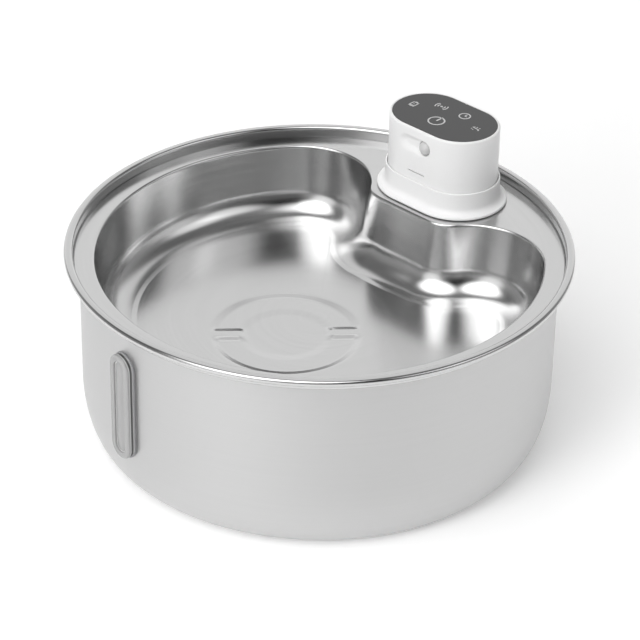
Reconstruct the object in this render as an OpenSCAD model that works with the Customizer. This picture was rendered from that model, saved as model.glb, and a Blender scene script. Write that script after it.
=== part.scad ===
// Cordless pet water fountain: a drawn steel tank with a rolled rim, a steel
// drinking tray with a kidney-shaped basin that hangs in it, and a white head
// that drops through a collar on the tray and carries battery, motor and pump.
// Millimetres, +Z up. The origin is on the floor under the middle of the tank,
// and +Y points to the head.

/* [Tank] */
// Radius over the rolled rim
rim_r = 145; // [140:0.5:160]
// Height of the rim above the floor
rim_z = 118.5; // [110:0.5:135]
// How far the rim stands out over the tank's wall
rim_overhang = 8.6; // [8:0.1:13]
// Thickness of the tank's sheet
tank_wall = 0.8; // [0.6:0.1:1]
// Width of the rounded bottom edge, seen from above
foot_round_w = 14; // [10:0.5:20]
// Height of the rounded bottom edge
foot_round_h = 35; // [20:0.5:45]
// Radius of the rim's rolled edge, at the middle of the sheet
roll_r = 1.5; // [1:0.1:1.8]
// Width of the rim's flat top and roll together
lip_w = 4.5; // [4:0.1:5.5]

/* [Foot ring] */
// Distance from the tank's wall in to the middle of the foot ring
foot_inset = 40.4; // [30:0.1:60]
// Width of the foot ring
foot_w = 10; // [6:0.5:16]
// Thickness of the foot ring
foot_t = 1; // [0.8:0.1:2]

/* [Tray] */
// Distance from the rim's outside in to the basin's mouth
mouth_margin = 16; // [15:0.5:21]
// Thickness of the tray's sheet
tray_wall = 0.8; // [0.6:0.1:1]
// Depth of the basin
basin_depth = 41.5; // [34:0.5:44]
// How far the tray's deck lies below the top of the rim
deck_drop = 6.5; // [5.5:0.1:7.5]
// Gap between the deck's edge and the rim's inner wall
deck_gap = 0.7; // [0.5:0.1:1.2]
// Radius of the two lobes beside the head, as a share of the mouth's radius
lobe_share = 0.326; // [0.31:0.002:0.336]
// Direction of each lobe's centre from the X axis, in degrees
lobe_dir = 39.5; // [36:0.5:42]
// Distance from the collar's flange to the basin's straight edge before it
saddle_gap = 2.1; // [1.6:0.1:5]
// Half the length of that straight edge
saddle_half = 18.5; // [17:0.5:21]
// Radius of the rounded edge at the mouth
edge_r = 1.5; // [1:0.1:3]
// Radius of the basin's lower fillet
basin_fillet = 17; // [12:0.5:19]
// How far the basin's wall leans in between edge and fillet
basin_lean = 3.5; // [2:0.1:5]
// Depth of the step around the basin's floor
floor_step = 0.6; // [0.3:0.1:1]

/* [Stamped ring] */
// Distance of the stamped ring's centre before the middle of the tank
stamp_y = 26.5; // [20:0.5:34]
// Outer radius of the stamped ring
stamp_out = 43.5; // [38:0.5:48]
// Width of the ring's flat band
stamp_band = 11; // [8:0.5:14]
// Depth of that band below the floor
stamp_depth = 0.6; // [0.3:0.1:1]
// Depth of the disc inside the ring below the floor
disc_depth = 1.1; // [0.6:0.1:1.6]
// Width of the slope outside the band
stamp_slope = 4.5; // [2:0.5:6]
// Width of the slope inside the band
disc_slope = 7; // [3:0.5:8]
// Half the angle of each gap in the ring
stamp_gap = 11; // [8:1:16]
// Direction of the ring's gaps from the X axis
stamp_dir = 47; // [0:1:90]

/* [Level window] */
// Direction of the window from the X axis
window_dir = -97.2; // [-110:0.2:-90]
// Width of the clear window
window_w = 16.8; // [16:0.2:22]
// Height of the clear window
window_h = 67; // [50:0.5:70]
// Height of the window's middle above the floor
window_z = 63.2; // [58:0.1:66]
// How far the window stands out of the wall
window_proud = 4.2; // [3:0.1:6]
// Width of the slot in the tank's wall
window_slot_w = 11; // [9:0.2:12]
// Thickness of the silicone gasket
gasket_t = 0.6; // [0.4:0.1:1]
// How far the gasket shows around the window
gasket_show = 0.5; // [0.2:0.1:1]

/* [Collar] */
// Distance from the tank's wall in to the collar's flange, seen from above
wall_gap = 2.2; // [1.2:0.1:2.7]
// Half the distance between the centres of the head's round ends
half = 12; // [11.4:0.1:12.4]
// How far the collar's flange reaches over the deck around the cut-out
flange_lap = 1.8; // [1.6:0.1:2.4]
// Height of the collar above the deck
collar_h = 15.5; // [12:0.5:18]
// Gap below the flange, through which the overflow drains
drain_gap = 0.8; // [0.6:0.1:1.2]
// Clearance between head and collar
head_gap = 0.4; // [0.3:0.1:0.5]
// Gap between the collar's skirt and the cut-out in the tray's deck
cutout_gap = 1.7; // [1.6:0.1:1.9]
// Radius of the collar's screws
collar_screw_r = 0.9; // [0.7:0.1:1]

/* [Head] */
// Radius of the head's round ends
head_r = 23.4; // [22.8:0.1:23.5]
// Height of the head's top above the rim
head_top = 42; // [40:0.5:50]
// Thickness of the white shell
shell_wall = 1.8; // [1.5:0.1:2]
// Radius of the shell's rounded top edge
shell_edge = 1; // [0.6:0.1:1.2]
// Width of the white edge around the touch panel
panel_border = 1.6; // [1.3:0.1:2]
// Thickness of the touch panel
panel_t = 1.6; // [1.2:0.1:2]
// Distance from the head's side to the inner edge of the ledge under the panel
ledge_w = 4.4; // [4.2:0.1:5]
// Thickness of that ledge
ledge_t = 1.6; // [1.2:0.1:2.4]
// Thickness of the circuit boards
board_t = 1.6; // [1:0.1:2]
// Half the width of the water slit
slit_half = 6; // [4:0.5:7]
// Height of the slit
slit_h = 0.8; // [0.6:0.1:1.2]
// Height of the slit above the rim
slit_z = 14; // [12:0.5:18]
// Height of the sensor's scoop above the rim
scoop_z = 31; // [29:0.5:32]
// Height of the scoop
scoop_h = 9.4; // [9:0.2:11]
// Depth of the scoop
scoop_depth = 1.4; // [1:0.1:1.6]
// Distance from the head's middle to the scoop's left end
scoop_left = 13; // [10:0.5:14]
// Radius of the sensor's dome
dome_r = 4.3; // [3.6:0.1:4.4]
// Distance from the head's middle to the dome
dome_x = 4; // [2:0.5:6]

/* [Charging socket] */
// Height of the charging socket above the rim
port_z = 23; // [18:0.5:26]
// Width of the socket's metal shell
port_w = 8.9; // [8.4:0.1:9.2]
// Height of the socket's metal shell
port_h = 3.3; // [3:0.1:3.4]
// Width of the rubber cover
cover_w = 15; // [14:0.5:17]
// Height of the rubber cover
cover_h = 9; // [8:0.5:10]
// Thickness of the rubber cover
cover_t = 1.6; // [1.2:0.1:1.8]
// Radius of the cover's hinge pins
cover_pin_r = 0.7; // [0.5:0.05:0.8]

/* [Dry case] */
// Gap between the dry case that hangs in the tank and the shell around its top
case_fit = 0.4; // [0.3:0.1:0.5]
// Thickness of the case's wall
case_wall = 1.6; // [1.3:0.1:1.8]
// Height of the case's underside above the floor
case_z = 44; // [43.5:0.5:46]
// Thickness of the case's floor
case_floor = 2; // [1.5:0.1:2.5]
// How far the case reaches up into the shell
case_lap = 14.8; // [13:0.1:16]
// Width of the riser duct
duct_w = 16; // [12:0.5:17]
// Depth of the riser duct
duct_d = 3.2; // [3:0.1:3.4]
// Wall of the riser duct
duct_wall = 0.7; // [0.5:0.1:0.8]
// Radius of a battery cell
cell_r = 9.1; // [8.9:0.05:9.2]
// Length of a battery cell
cell_h = 65; // [60:0.5:66]

/* [Motor and pump] */
// Inner radius of the well the magnet turns in
well_r = 7; // [6.6:0.1:7.4]
// Wall of that well
well_wall = 1.4; // [1.2:0.1:1.6]
// Radius of the magnet
magnet_r = 6.2; // [5.8:0.1:6.3]
// Radius of the shaft
shaft_r = 1; // [0.8:0.05:1.2]
// Running clearance of the impeller's bore
shaft_gap = 0.05; // [0.02:0.01:0.09]
// Outer radius of the motor's core
core_r = 14; // [13.4:0.1:14.2]
// Height of the motor's core
core_h = 10; // [8:0.5:11]
// Radius of the impeller
impeller_r = 11.5; // [10:0.1:12]
// Radius of the pump's chamber
chamber_r = 13.5; // [13:0.1:14]
// Height of the pump's housing above its skirt
pump_h = 8; // [7.5:0.5:9]
// Radius of the pump's intake
intake_r = 8; // [6:0.1:9]
// Number of impeller blades
blades = 6; // [4:1:8]

/* [Filter] */
// Outer radius of the filter cup
cup_r = 19.4; // [19:0.1:19.7]
// Wall of the filter cup
cup_wall = 1.5; // [1.2:0.1:1.7]
// Gap between the cup's bottom and the tank's floor
cup_lift = 2.7; // [2:0.1:4]
// Angle of the bayonet's turn
lock_turn = 30; // [20:1:40]
// Radius of the bayonet's lugs
lug_r = 1.2; // [1:0.1:1.5]
// Thickness of the filter's disc
media_h = 12; // [8:0.5:13]

/* [Hidden] */
$fn = 96;
eps = 0.01;

// Clearances: faces that are clamped together, and bodies that rest on each other
snug = 0.02;
seat_gap = 0.1;

// Sheet of the tank: middle line of the wall, from the axis out to the rolled edge
mid = tank_wall / 2;
tank_r = rim_r - rim_overhang;
wall_r = tank_r - mid;
foot_r = tank_r - foot_inset;

// Head, collar and cut-out around their common middle, from the inside out
skirt_in = head_r + head_gap;
skirt_out = skirt_in + 2.1;
cutout_r = skirt_out + cutout_gap;
flange_r = cutout_r + flange_lap;
head_y = tank_r - tank_wall - wall_gap - flange_r;

// Heights of the tank and the tray
base_z = foot_t + mid;
floor_z = foot_t + tank_wall;
deck_z = rim_z - deck_drop;
ledge_z = deck_z - tray_wall - seat_gap - mid;
bend_r = 1.4;
rim_in_r = rim_r - lip_w - mid;
roll_c = rim_r - mid - roll_r;

function arc(c, r, from, to, n) =
    [for (i = [0:n]) let (a = from + (to - from) * i / n) c + r * [cos(a), sin(a)]];
function oval(c, rx, ry, from, to, n) =
    [for (i = [0:n]) let (a = from + (to - from) * i / n) c + [rx * cos(a), ry * sin(a)]];
function unit(v) = v / norm(v);
function along(p, i) = unit(p[min(i + 1, len(p) - 1)] - p[max(i - 1, 0)]);
function beside(p, i, d) = p[i] + d * [-along(p, i)[1], along(p, i)[0]];
function sheet(p, t) = concat([for (i = [0:len(p) - 1]) beside(p, i, t / 2)],
    [for (i = [len(p) - 1:-1:0]) beside(p, i, -t / 2)]);
function turned(list) = [for (i = [len(list) - 1:-1:0]) list[i]];
function at_z(ring, z) = [for (p = ring) [p[0], p[1], z]];

foot_n = 14;
tank_line = concat(
    [[0, base_z]],
    oval([wall_r - foot_round_w, base_z + foot_round_h], foot_round_w, foot_round_h, -90, 0, foot_n),
    arc([wall_r + bend_r, ledge_z - bend_r], bend_r, 180, 90, 5),
    arc([rim_in_r - bend_r, ledge_z + bend_r], bend_r, -90, 0, 5),
    arc([rim_in_r + roll_r, rim_z - mid - roll_r], roll_r, 180, 90, 4),
    arc([roll_c, rim_z - mid - roll_r], roll_r, 90, -110, 9));

// Level window
window_slot_h = window_h - window_w + window_slot_w;
window_fit = 0.3;
window_edge = 4;
window_recess = 0.8;
window_stem = tank_r - 3;
frame_t = 2.2;
window_screw_r = 0.9;
window_screw_z = window_slot_h / 2 - 5.5;
window_head_t = 1.2;

// Basin: the mouth's outline is arcs with fixed centres, so an inset outline keeps them
deck_r = rim_in_r - mid - deck_gap;
mouth_r = rim_r - mouth_margin;
lobe_r = lobe_share * mouth_r;
saddle_y = head_y - flange_r - saddle_gap;
lobe_c = (mouth_r - lobe_r) * [cos(lobe_dir), sin(lobe_dir)];
nose_y = (pow(lobe_c[0] - saddle_half, 2) + pow(lobe_c[1], 2) - pow(lobe_r - saddle_y, 2))
    / (2 * (lobe_c[1] + lobe_r - saddle_y));
nose_c = [saddle_half, nose_y];
nose_r = nose_y - saddle_y;
nose_dir = atan2(nose_c[1] - lobe_c[1], nose_c[0] - lobe_c[0]);
bowl_n = 28;
lobe_n = 10;
nose_n = 5;
half_n = bowl_n + lobe_n + nose_n + 1;
ring_n = 2 * half_n;
deck_n = bowl_n + lobe_n / 2 + 1;

function half_outline(d) = concat(
    arc([0, 0], mouth_r - d, -90, lobe_dir, bowl_n),
    [for (i = [1:lobe_n]) let (a = lobe_dir + (nose_dir - lobe_dir) * i / lobe_n)
        lobe_c + (lobe_r - d) * [cos(a), sin(a)]],
    [for (i = [1:nose_n]) let (a = nose_dir - 180 + (90 - nose_dir) * i / nose_n)
        nose_c + (nose_r + d) * [cos(a), sin(a)]],
    [[0, saddle_y - d]]);
function outline(d) = let (h = half_outline(d))
    [for (i = [0:ring_n - 1]) i <= half_n ? h[i] : [-h[ring_n - i][0], h[ring_n - i][1]]];
function deck_edge() = [for (p = outline(0)) deck_r * unit(p)];

// Profile of the basin's upper face: inset from the mouth, and height
wall_lean = atan2(basin_lean, basin_depth - edge_r - basin_fillet);
fillet_c = edge_r + basin_lean + basin_fillet;
step_w = 0.8;
basin_z = deck_z - basin_depth;
bowl_line = concat(
    arc([0, deck_z - edge_r], edge_r, 90, wall_lean, 3),
    arc([fillet_c, basin_z + basin_fillet], basin_fillet, 180 + wall_lean, 270, 6),
    [[fillet_c + step_w, basin_z - floor_step]]);
function under(line, i) = i == 0 ? line[0] - [0, tray_wall] : beside(line, i, -tray_wall);

// Stamped ring: two arcs pressed down into the floor around a deeper disc, with a gap between their ends
stamp_z = basin_z - floor_step;
band_out = stamp_out - stamp_slope;
band_in = band_out - stamp_band;
stamp_radii = [stamp_out, band_out, band_in, band_in - disc_slope];
stamp_ramp = 6;
function stamp_share(a) = max(0, min(1, (abs(asin(sin(a - stamp_dir))) - stamp_gap) / stamp_ramp));
function stamp_ring(k, z) = [for (p = outline(fillet_c + step_w)) let (
    a = atan2(p[1] + stamp_y, p[0]),
    drop = k == 0 ? 0 : k == 3 ? disc_depth : stamp_depth * stamp_share(a))
        [stamp_radii[k] * cos(a), stamp_radii[k] * sin(a) - stamp_y, z - drop]];
function tray_rings(low) = let (
    line = low ? [for (i = [0:len(bowl_line) - 1]) under(bowl_line, i)] : bowl_line,
    drop = low ? tray_wall : 0)
        concat([at_z(deck_edge(), deck_z - drop)],
            [for (q = line) at_z(outline(q[0]), q[1])],
            [for (k = [0:3]) stamp_ring(k, stamp_z - drop)]);
cut_half = concat([[0, head_y - cutout_r]], arc([half, head_y], cutout_r, -90, 90, 14),
    [[0, head_y + cutout_r]]);
cut_last = len(cut_half) - 1;
function cutout_ring() = concat(cut_half, [for (i = [cut_last - 1:-1:1]) [-cut_half[i][0], cut_half[i][1]]]);

// Triangles between an outer and an inner row of points, taken in order of their directions
function from_head(p) = atan2(p[1] - head_y, p[0]);
function zipped(outer, inner, outer_a, inner_a, i = 0, j = 0) = let (
    more_i = i < len(outer) - 1,
    more_j = j < len(inner) - 1)
        !more_i && !more_j ? []
        : more_i && (!more_j || outer_a[i + 1] <= inner_a[j + 1])
            ? concat([[outer[i], inner[j], outer[i + 1]]], zipped(outer, inner, outer_a, inner_a, i + 1, j))
            : concat([[outer[i], inner[j], inner[j + 1]]], zipped(outer, inner, outer_a, inner_a, i, j + 1));

// Collar and its clamp, around the middle of the head
collar_wall = 1.1;
collar_out = skirt_in + collar_wall;
flange_t = 1.4;
flange_edge = 0.4;
flare_r = 3.6;
boss_r = 1.8;
boss_at = cutout_r - boss_r - 0.2;
boss_turn = 45;
lip_t = 2.2;
clamp_t = 3;
clamp_z = deck_z - 9;
clamp_top = clamp_z + clamp_t;
clamp_out = flange_r - 0.2;
drain_r = 1;
foot_pin_r = 0.8;
collar_bite = 5.5;

// Head, from its own middle: the front is -Y, where the basin is
front = -head_r;
back = head_r;
shell_z = clamp_z + lip_t + seat_gap;
shell_in = head_r - shell_wall;
case_r = shell_in - case_fit;
clamp_in = case_r + 0.7;
top_z = rim_z + head_top;
panel_r = head_r - panel_border;
panel_fit = 0.1;
notch_x = -2;
ledge_top = top_z - panel_t;
ledge_low = ledge_top - ledge_t;
ledge_r = head_r - ledge_w;
board_z = ledge_low - board_t;
board_screw_at = (ledge_r + shell_in) / 2;
board_screw_r = 0.6;
board_screw_dirs = [-50, 50];
pad_places = [[-23.5, 0.5], [-9.5, 9], [0, -7], [9, 9], [22.5, 1.5]];

// Sensor behind the scoop
dome_proud = 0.9;
dome_flange = 0.9;
dome_seat = front + scoop_depth + 2.4;
sensor_y = dome_seat + 2.5;
sensor_post = dome_r + 2.3;

// Charging socket and its cover
cover_fit = 0.3;
cover_lip_w = 8;
cover_axis_y = back - seat_gap - cover_t / 2;
cover_axis_z = rim_z + port_z - cover_h / 2 + cover_t / 2;
cover_floor = cover_axis_y - cover_t / 2 - cover_fit;
port_in = cover_floor - 3;
port_rim = 3;
port_wall = 0.4;
tongue_w = 6.4;
tongue_t = 0.7;
charge_w = 13;
charge_d = 13;
rail_w = 1.6;
charge_z = rim_z + port_z - port_h / 2 - board_t;

// Dry case
case_in = case_r - case_wall;
case_top = shell_z + case_lap;
seal_z = shell_z + 4.5;
seal_h = 1.8;
seal_d = 1;
case_screw_r = 0.9;
case_screw_z = shell_z + 11;
case_boss_r = 2.6;
case_boss_l = 4;

// Riser duct
duct_front = -case_in + 0.2;
duct_back = duct_front + duct_d;
duct_foot = case_z - 4;
duct_top = rim_z + slit_z - 1.6;

// Motor well, cells and boards
well_top = case_z + 14;
bush_r = 2.6;
bush_h = 2;
well_roof = bush_h + 1.5;
core_z = case_z + case_floor;
core_yoke = 3;
tooth_w = 3;
tooth_gap = 1.6;
coil_t = 1.1;
holder_z = well_top + well_roof;
holder_t = 3;
cell_seat = 1.5;
cell_z = holder_z + holder_t - cell_seat;
cell_x = cell_r + 0.5;
cell_y = 3;
cap_z = cell_z + cell_h - cell_seat;
cap_t = 3.4;
link_t = 0.3;
power_z = cap_z + cap_t;
lead_r = 1.1;
lead_x = 24.5;
lead_z = core_z + core_h / 2;

// Pump
cup_in = cup_r - cup_wall;
skirt_r = cup_in - 0.5;
skirt_wall = 1.5;
skirt_h = 8;
pump_z = case_z - pump_h;
pump_low = pump_z - skirt_h;
pump_screw_x = 24;
pump_screw_y = 8;
pump_screw_r = 1.1;
plate_t = 2;
spoke_w = 1.6;
chamber_z = pump_z + 0.4;
plate_z = chamber_z - plate_t;
socket_z = plate_z + 0.6;
hub_r = 3.6;
shaft_top = well_top + bush_h - 0.4;
blade_z = chamber_z + 0.9;
blade_h = 4.2;
blade_t = 1.2;
disc_t = 1.2;
spindle_r = 3;
magnet_z = blade_z + blade_h + disc_t;
magnet_top = well_top - 0.5;

// Filter cup
cup_z = floor_z + cup_lift;
cup_top = pump_z - 0.3;
lug_z = pump_low + 3;
slot_fit = 0.3;
slot_w = 2;

// Round-ended sweep: the profile, radius and height, runs round two half circles and the straights between
module race(half) {
    translate([half, 0, 0]) rotate([0, 0, -90]) rotate_extrude(angle = 180) children();
    translate([-half, 0, 0]) rotate([0, 0, 90]) rotate_extrude(angle = 180) children();
    for (turn = [0, 180]) rotate([0, 0, turn]) translate([-half, 0, 0]) rotate([90, 0, 90])
        linear_extrude(2 * half) children();
}

module slab(r, z, h) {
    race(half) translate([0, z]) square([r, h]);
}

module band(inner, outer, z, h) {
    race(half) translate([inner, z]) square([outer - inner, h]);
}

// Box between two corners
module block(low, high) {
    translate(low) cube(high - low);
}

module at_head() {
    translate([0, head_y, 0]) children();
}

// Points spread over the two round ends of the head
module on_ends(r, angles) {
    for (end = [0, 180], a = angles) rotate([0, 0, end])
        translate([half + r * cos(a), r * sin(a), 0]) children();
}

// Upright round-ended shape on the tank's wall, between two distances from the tank's axis
module pill(w, h, from, to) {
    translate([from, 0, 0]) rotate([0, 90, 0]) race((h - w) / 2) square([w / 2, to - from]);
}

module at_window() {
    rotate([0, 0, window_dir]) translate([0, 0, window_z]) children();
}

module window_screw_places() {
    for (end = [-1, 1]) translate([0, 0, end * window_screw_z]) rotate([0, 90, 0]) children();
}

module tank() {
    color([0.78, 0.78, 0.79]) difference() {
        rotate_extrude() polygon(sheet(tank_line, tank_wall));
        at_window() pill(window_slot_w, window_slot_h, tank_r - 8, tank_r + 8);
    }
}

module foot_ring() {
    color([0.3, 0.3, 0.3]) rotate_extrude() translate([foot_r - foot_w / 2, 0]) square([foot_w, foot_t]);
}

module window_lens() {
    face = tank_r + window_proud;
    color([0.85, 0.88, 0.9, 0.5]) at_window() difference() {
        union() {
            difference() {
                pill(window_w, window_h, tank_r - 2, face);
                cylinder(h = 2 * window_h, r = tank_r + gasket_t + snug, center = true);
            }
            pill(window_slot_w - 2 * window_fit, window_slot_h - 2 * window_fit, window_stem, tank_r + 2);
        }
        pill(window_w - 2 * window_edge, window_h - 2 * window_edge, face - window_recess, face + 1);
        window_screw_places() translate([0, 0, window_stem - eps]) cylinder(h = 5, r = window_screw_r + 0.02);
    }
}

module window_gasket() {
    color([0.6, 0.6, 0.6]) at_window() intersection() {
        difference() {
            pill(window_w + 2 * gasket_show, window_h + 2 * gasket_show, tank_r - 2, tank_r + 2);
            pill(window_slot_w, window_slot_h, tank_r - 3, tank_r + 3);
        }
        difference() {
            cylinder(h = 2 * window_h, r = tank_r + gasket_t, center = true);
            cylinder(h = 3 * window_h, r = tank_r + snug, center = true);
        }
    }
}

// The room inside the tank below its ledge, a distance away from the middle line of its sheet
module tank_room(away) {
    top = ledge_z - bend_r;
    rotate_extrude() polygon(concat([for (i = [0:foot_n + 1]) beside(tank_line, i, away)],
        [[wall_r - away, top], [0, top]]));
}

module window_frame() {
    color("white") at_window() difference() {
        intersection() {
            pill(window_w - 1, window_h - 1, window_stem - frame_t, tank_r);
            translate([0, 0, -window_z]) tank_room(mid + seat_gap);
        }
        pill(window_slot_w, window_slot_h, window_stem, tank_r + 1);
        pill(window_slot_w - 4, window_slot_h - 20, window_stem - 2 * frame_t, window_stem + 1);
        window_screw_places() translate([0, 0, window_stem - frame_t - 1])
            cylinder(h = frame_t + 2, r = window_screw_r + 0.1);
    }
}

module window_screws() {
    color([0.7, 0.7, 0.7]) at_window() window_screw_places() {
        translate([0, 0, window_stem - frame_t - window_head_t])
            cylinder(h = window_head_t, r = 2 * window_screw_r);
        translate([0, 0, window_stem - frame_t]) cylinder(h = frame_t + 4, r = window_screw_r);
    }
}

// The tray is one skin: rings of equal count run from the deck's edge over the mouth and down
// the wall to the floor, above and below. Behind the basin the deck is cut out below the head.
module tray() {
    top_rings = tray_rings(false);
    low_rings = tray_rings(true);
    cut = cutout_ring();
    cut_n = len(cut);
    low0 = len(top_rings) * ring_n;
    last = low0 - ring_n;
    hub = 2 * low0;
    cut0 = hub + 2;
    points = concat([for (r = top_rings) each r], [for (r = low_rings) each r],
        [for (drop = [0, tray_wall]) [0, -stamp_y, stamp_z - disc_depth - drop]],
        at_z(cut, deck_z), at_z(cut, deck_z - tray_wall));
    // Triangles between each ring and the next one in, without the deck beside the cut-out
    skin = [for (k = [0:len(top_rings) - 2], i = [0:ring_n - 1])
        if (k > 0 || i < deck_n || i >= ring_n - deck_n)
            let (a = k * ring_n + i, b = k * ring_n + (i + 1) % ring_n) each
                [[a, a + ring_n, b + ring_n], [a, b + ring_n, b]]];
    fan = [for (i = [0:ring_n - 1]) [last + i, hub, last + (i + 1) % ring_n]];
    // The deck around the right half of the cut-out, and its mirror image
    rim = concat([for (i = [half_n:-1:deck_n]) ring_n + i], [for (i = [deck_n:half_n]) i]);
    right = zipped(rim, [for (j = [0:cut_last]) cut0 + j],
        [for (v = rim) from_head(points[v])], [for (j = [0:cut_last]) from_head(cut[j])]);
    left = [for (f = right) turned([for (v = f) v < ring_n ? ring_n - v : v < hub ? 3 * ring_n - v
        : cut0 + (cut_n + cut0 - v) % cut_n])];
    upper = concat(skin, fan, right, left);
    lower = [for (f = upper) turned([for (v = f) v < low0 ? v + low0 : v == hub ? hub + 1 : v + cut_n])];
    edge = [for (i = [0:ring_n - 1]) let (n = (i + 1) % ring_n) each
        [[i, n, low0 + n], [i, low0 + n, low0 + i]]];
    hole = [for (j = [0:cut_n - 1]) let (a = cut0 + j, b = cut0 + (j + 1) % cut_n) each
        [[b, a, a + cut_n], [b, a + cut_n, b + cut_n]]];
    color([0.8, 0.8, 0.81]) polyhedron(points, concat(upper, lower, edge, hole));
}

module boss_places() {
    on_ends(boss_at, [-boss_turn, boss_turn]) children();
}

module collar() {
    low = deck_z + drain_gap;
    top = deck_z + collar_h;
    color("white") at_head() difference() {
        union() {
            race(half) polygon(concat(
                [[skirt_in, clamp_top], [skirt_out, clamp_top], [skirt_out, low],
                    [flange_r - flange_edge, low], [flange_r, low + flange_edge],
                    [flange_r, low + flange_t - flange_edge], [flange_r - flange_edge, low + flange_t]],
                arc([collar_out + flare_r, low + flange_t + flare_r], flare_r, 270, 180, 8),
                arc([skirt_in + collar_wall / 2, top - collar_wall / 2], collar_wall / 2, 0, 180, 8)));
            translate([0, 0, clamp_top]) boss_places() cylinder(h = low + flange_t / 2 - clamp_top, r = boss_r);
            // Feet that keep the drain gap open
            translate([0, 0, deck_z]) on_ends((cutout_r + flange_r) / 2, [-75, -25, 25, 75])
                cylinder(h = drain_gap + flange_t / 2, r = foot_pin_r);
        }
        translate([0, 0, clamp_top - eps]) boss_places()
            cylinder(h = collar_bite + 0.5, r = collar_screw_r + snug);
    }
}

module collar_clamp() {
    land = cutout_r + 0.4;
    color([0.85, 0.85, 0.85]) at_head() difference() {
        race(half) polygon([[clamp_in, clamp_z], [clamp_out, clamp_z], [clamp_out, deck_z - tray_wall],
            [land, deck_z - tray_wall], [land, clamp_top], [skirt_in, clamp_top], [skirt_in, clamp_z + lip_t],
            [clamp_in, clamp_z + lip_t]]);
        translate([0, 0, clamp_z - 1]) boss_places() cylinder(h = clamp_t + 2, r = collar_screw_r + 0.2);
        // Drain holes below the gap around the skirt
        translate([0, 0, clamp_z - 1]) on_ends((skirt_out + land) / 2, [-15, 0, 15])
            cylinder(h = clamp_t + 2, r = drain_r);
        for (turn = [0, 180]) rotate([0, 0, turn]) translate([0, (skirt_out + land) / 2, clamp_z])
            cube([1.4 * half, 2 * drain_r, 3 * clamp_t], center = true);
    }
}

module collar_screws() {
    color([0.7, 0.7, 0.7]) at_head() boss_places() {
        translate([0, 0, clamp_z - 1.2]) cylinder(h = 1.2, r = 2 * collar_screw_r);
        translate([0, 0, clamp_z]) cylinder(h = clamp_t + collar_bite, r = collar_screw_r);
    }
}

// Places in the head are measured from the middle of its oval
module scoop_cut() {
    long = (dome_x + scoop_left - scoop_h / 2) / 2;
    translate([dome_x - long, front + scoop_depth, rim_z + scoop_z]) rotate([90, 0, 0])
        race(long) square([scoop_h / 2, scoop_depth + 1]);
}

module at_dome() {
    translate([dome_x, front, rim_z + scoop_z]) rotate([90, 0, 0]) children();
}

module at_case_screws() {
    for (end = [0, 180]) rotate([0, 0, end])
        translate([half + head_r, 0, case_screw_z]) rotate([0, -90, 0]) children();
}

module head_shell() {
    slit = rim_z + slit_z;
    port = rim_z + port_z;
    scoop = rim_z + scoop_z;
    color("white") at_head() difference() {
        union() {
            race(half) polygon(concat(
                [[shell_in, shell_z], [head_r, shell_z]],
                arc([head_r - shell_edge, top_z - shell_edge], shell_edge, 0, 90, 5),
                [[panel_r + panel_fit, top_z], [panel_r + panel_fit, ledge_top], [ledge_r, ledge_top],
                    [ledge_r, ledge_low], [shell_in, ledge_low]]));
            // Thicker wall behind the scoop and around the socket
            block([-scoop_left, -shell_in - eps, scoop - scoop_h / 2 - 1],
                [dome_x + dome_r + 2, dome_seat, scoop + scoop_h / 2 + 1]);
            block([-cover_w / 2 - port_rim, port_in, port - cover_h / 2 - 2],
                [cover_w / 2 + port_rim, shell_in + eps, port + cover_h / 2 + 2]);
            // Posts of the sensor's board and rails of the charging board
            for (x = [-sensor_post, sensor_post]) translate([dome_x + x, dome_seat, scoop])
                rotate([-90, 0, 0]) cylinder(h = sensor_y - dome_seat, r = 1.2);
            for (x = [-charge_w / 2, charge_w / 2 - rail_w])
                block([x, port_in - 6, charge_z - rail_w], [x + rail_w, port_in + eps, charge_z]);
        }
        block([-slit_half, front - 1, slit - slit_h / 2],
            [slit_half, front + shell_wall + 1, slit + slit_h / 2]);
        scoop_cut();
        at_dome() translate([0, 0, -8]) cylinder(h = 9, r = dome_r + 0.05);
        block([-cover_w / 2 - cover_fit, cover_floor, cover_axis_z - cover_t / 2 - cover_fit],
            [cover_w / 2 + cover_fit, back + 1, cover_axis_z + cover_h - cover_t / 2 + cover_fit]);
        block([-port_w / 2, port_in - 1, port - port_h / 2], [port_w / 2, back, port + port_h / 2]);
        translate([0, cover_axis_y, cover_axis_z]) rotate([0, 90, 0])
            cylinder(h = cover_w + 4, r = cover_pin_r + 0.05, center = true);
        at_case_screws() {
            translate([0, 0, -1]) cylinder(h = 2, r = 1.9);
            cylinder(h = shell_wall + 1, r = case_screw_r + 0.1);
        }
    }
}

module touch_panel() {
    color([0.35, 0.35, 0.36]) at_head() difference() {
        slab(panel_r, ledge_top, panel_t);
        translate([notch_x, panel_r, top_z]) cube([2, 1.2, 1.2], center = true);
    }
}

module touch_board() {
    color([0.1, 0.4, 0.2]) at_head() difference() {
        slab(shell_in - 0.3, board_z, board_t);
        translate([0, 0, board_z - 1]) on_ends(board_screw_at, board_screw_dirs)
            cylinder(h = board_t + 2, r = board_screw_r + 0.1);
    }
}

module touch_pads() {
    color([0.8, 0.7, 0.4]) at_head() for (p = pad_places)
        translate([p[0], p[1], board_z + board_t]) cylinder(h = ledge_t, r = 3);
}

module board_screws() {
    color([0.7, 0.7, 0.7]) at_head() on_ends(board_screw_at, board_screw_dirs) {
        translate([0, 0, board_z - 1]) cylinder(h = 1, r = 1.1);
        translate([0, 0, board_z]) cylinder(h = board_t, r = board_screw_r);
    }
}

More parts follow.
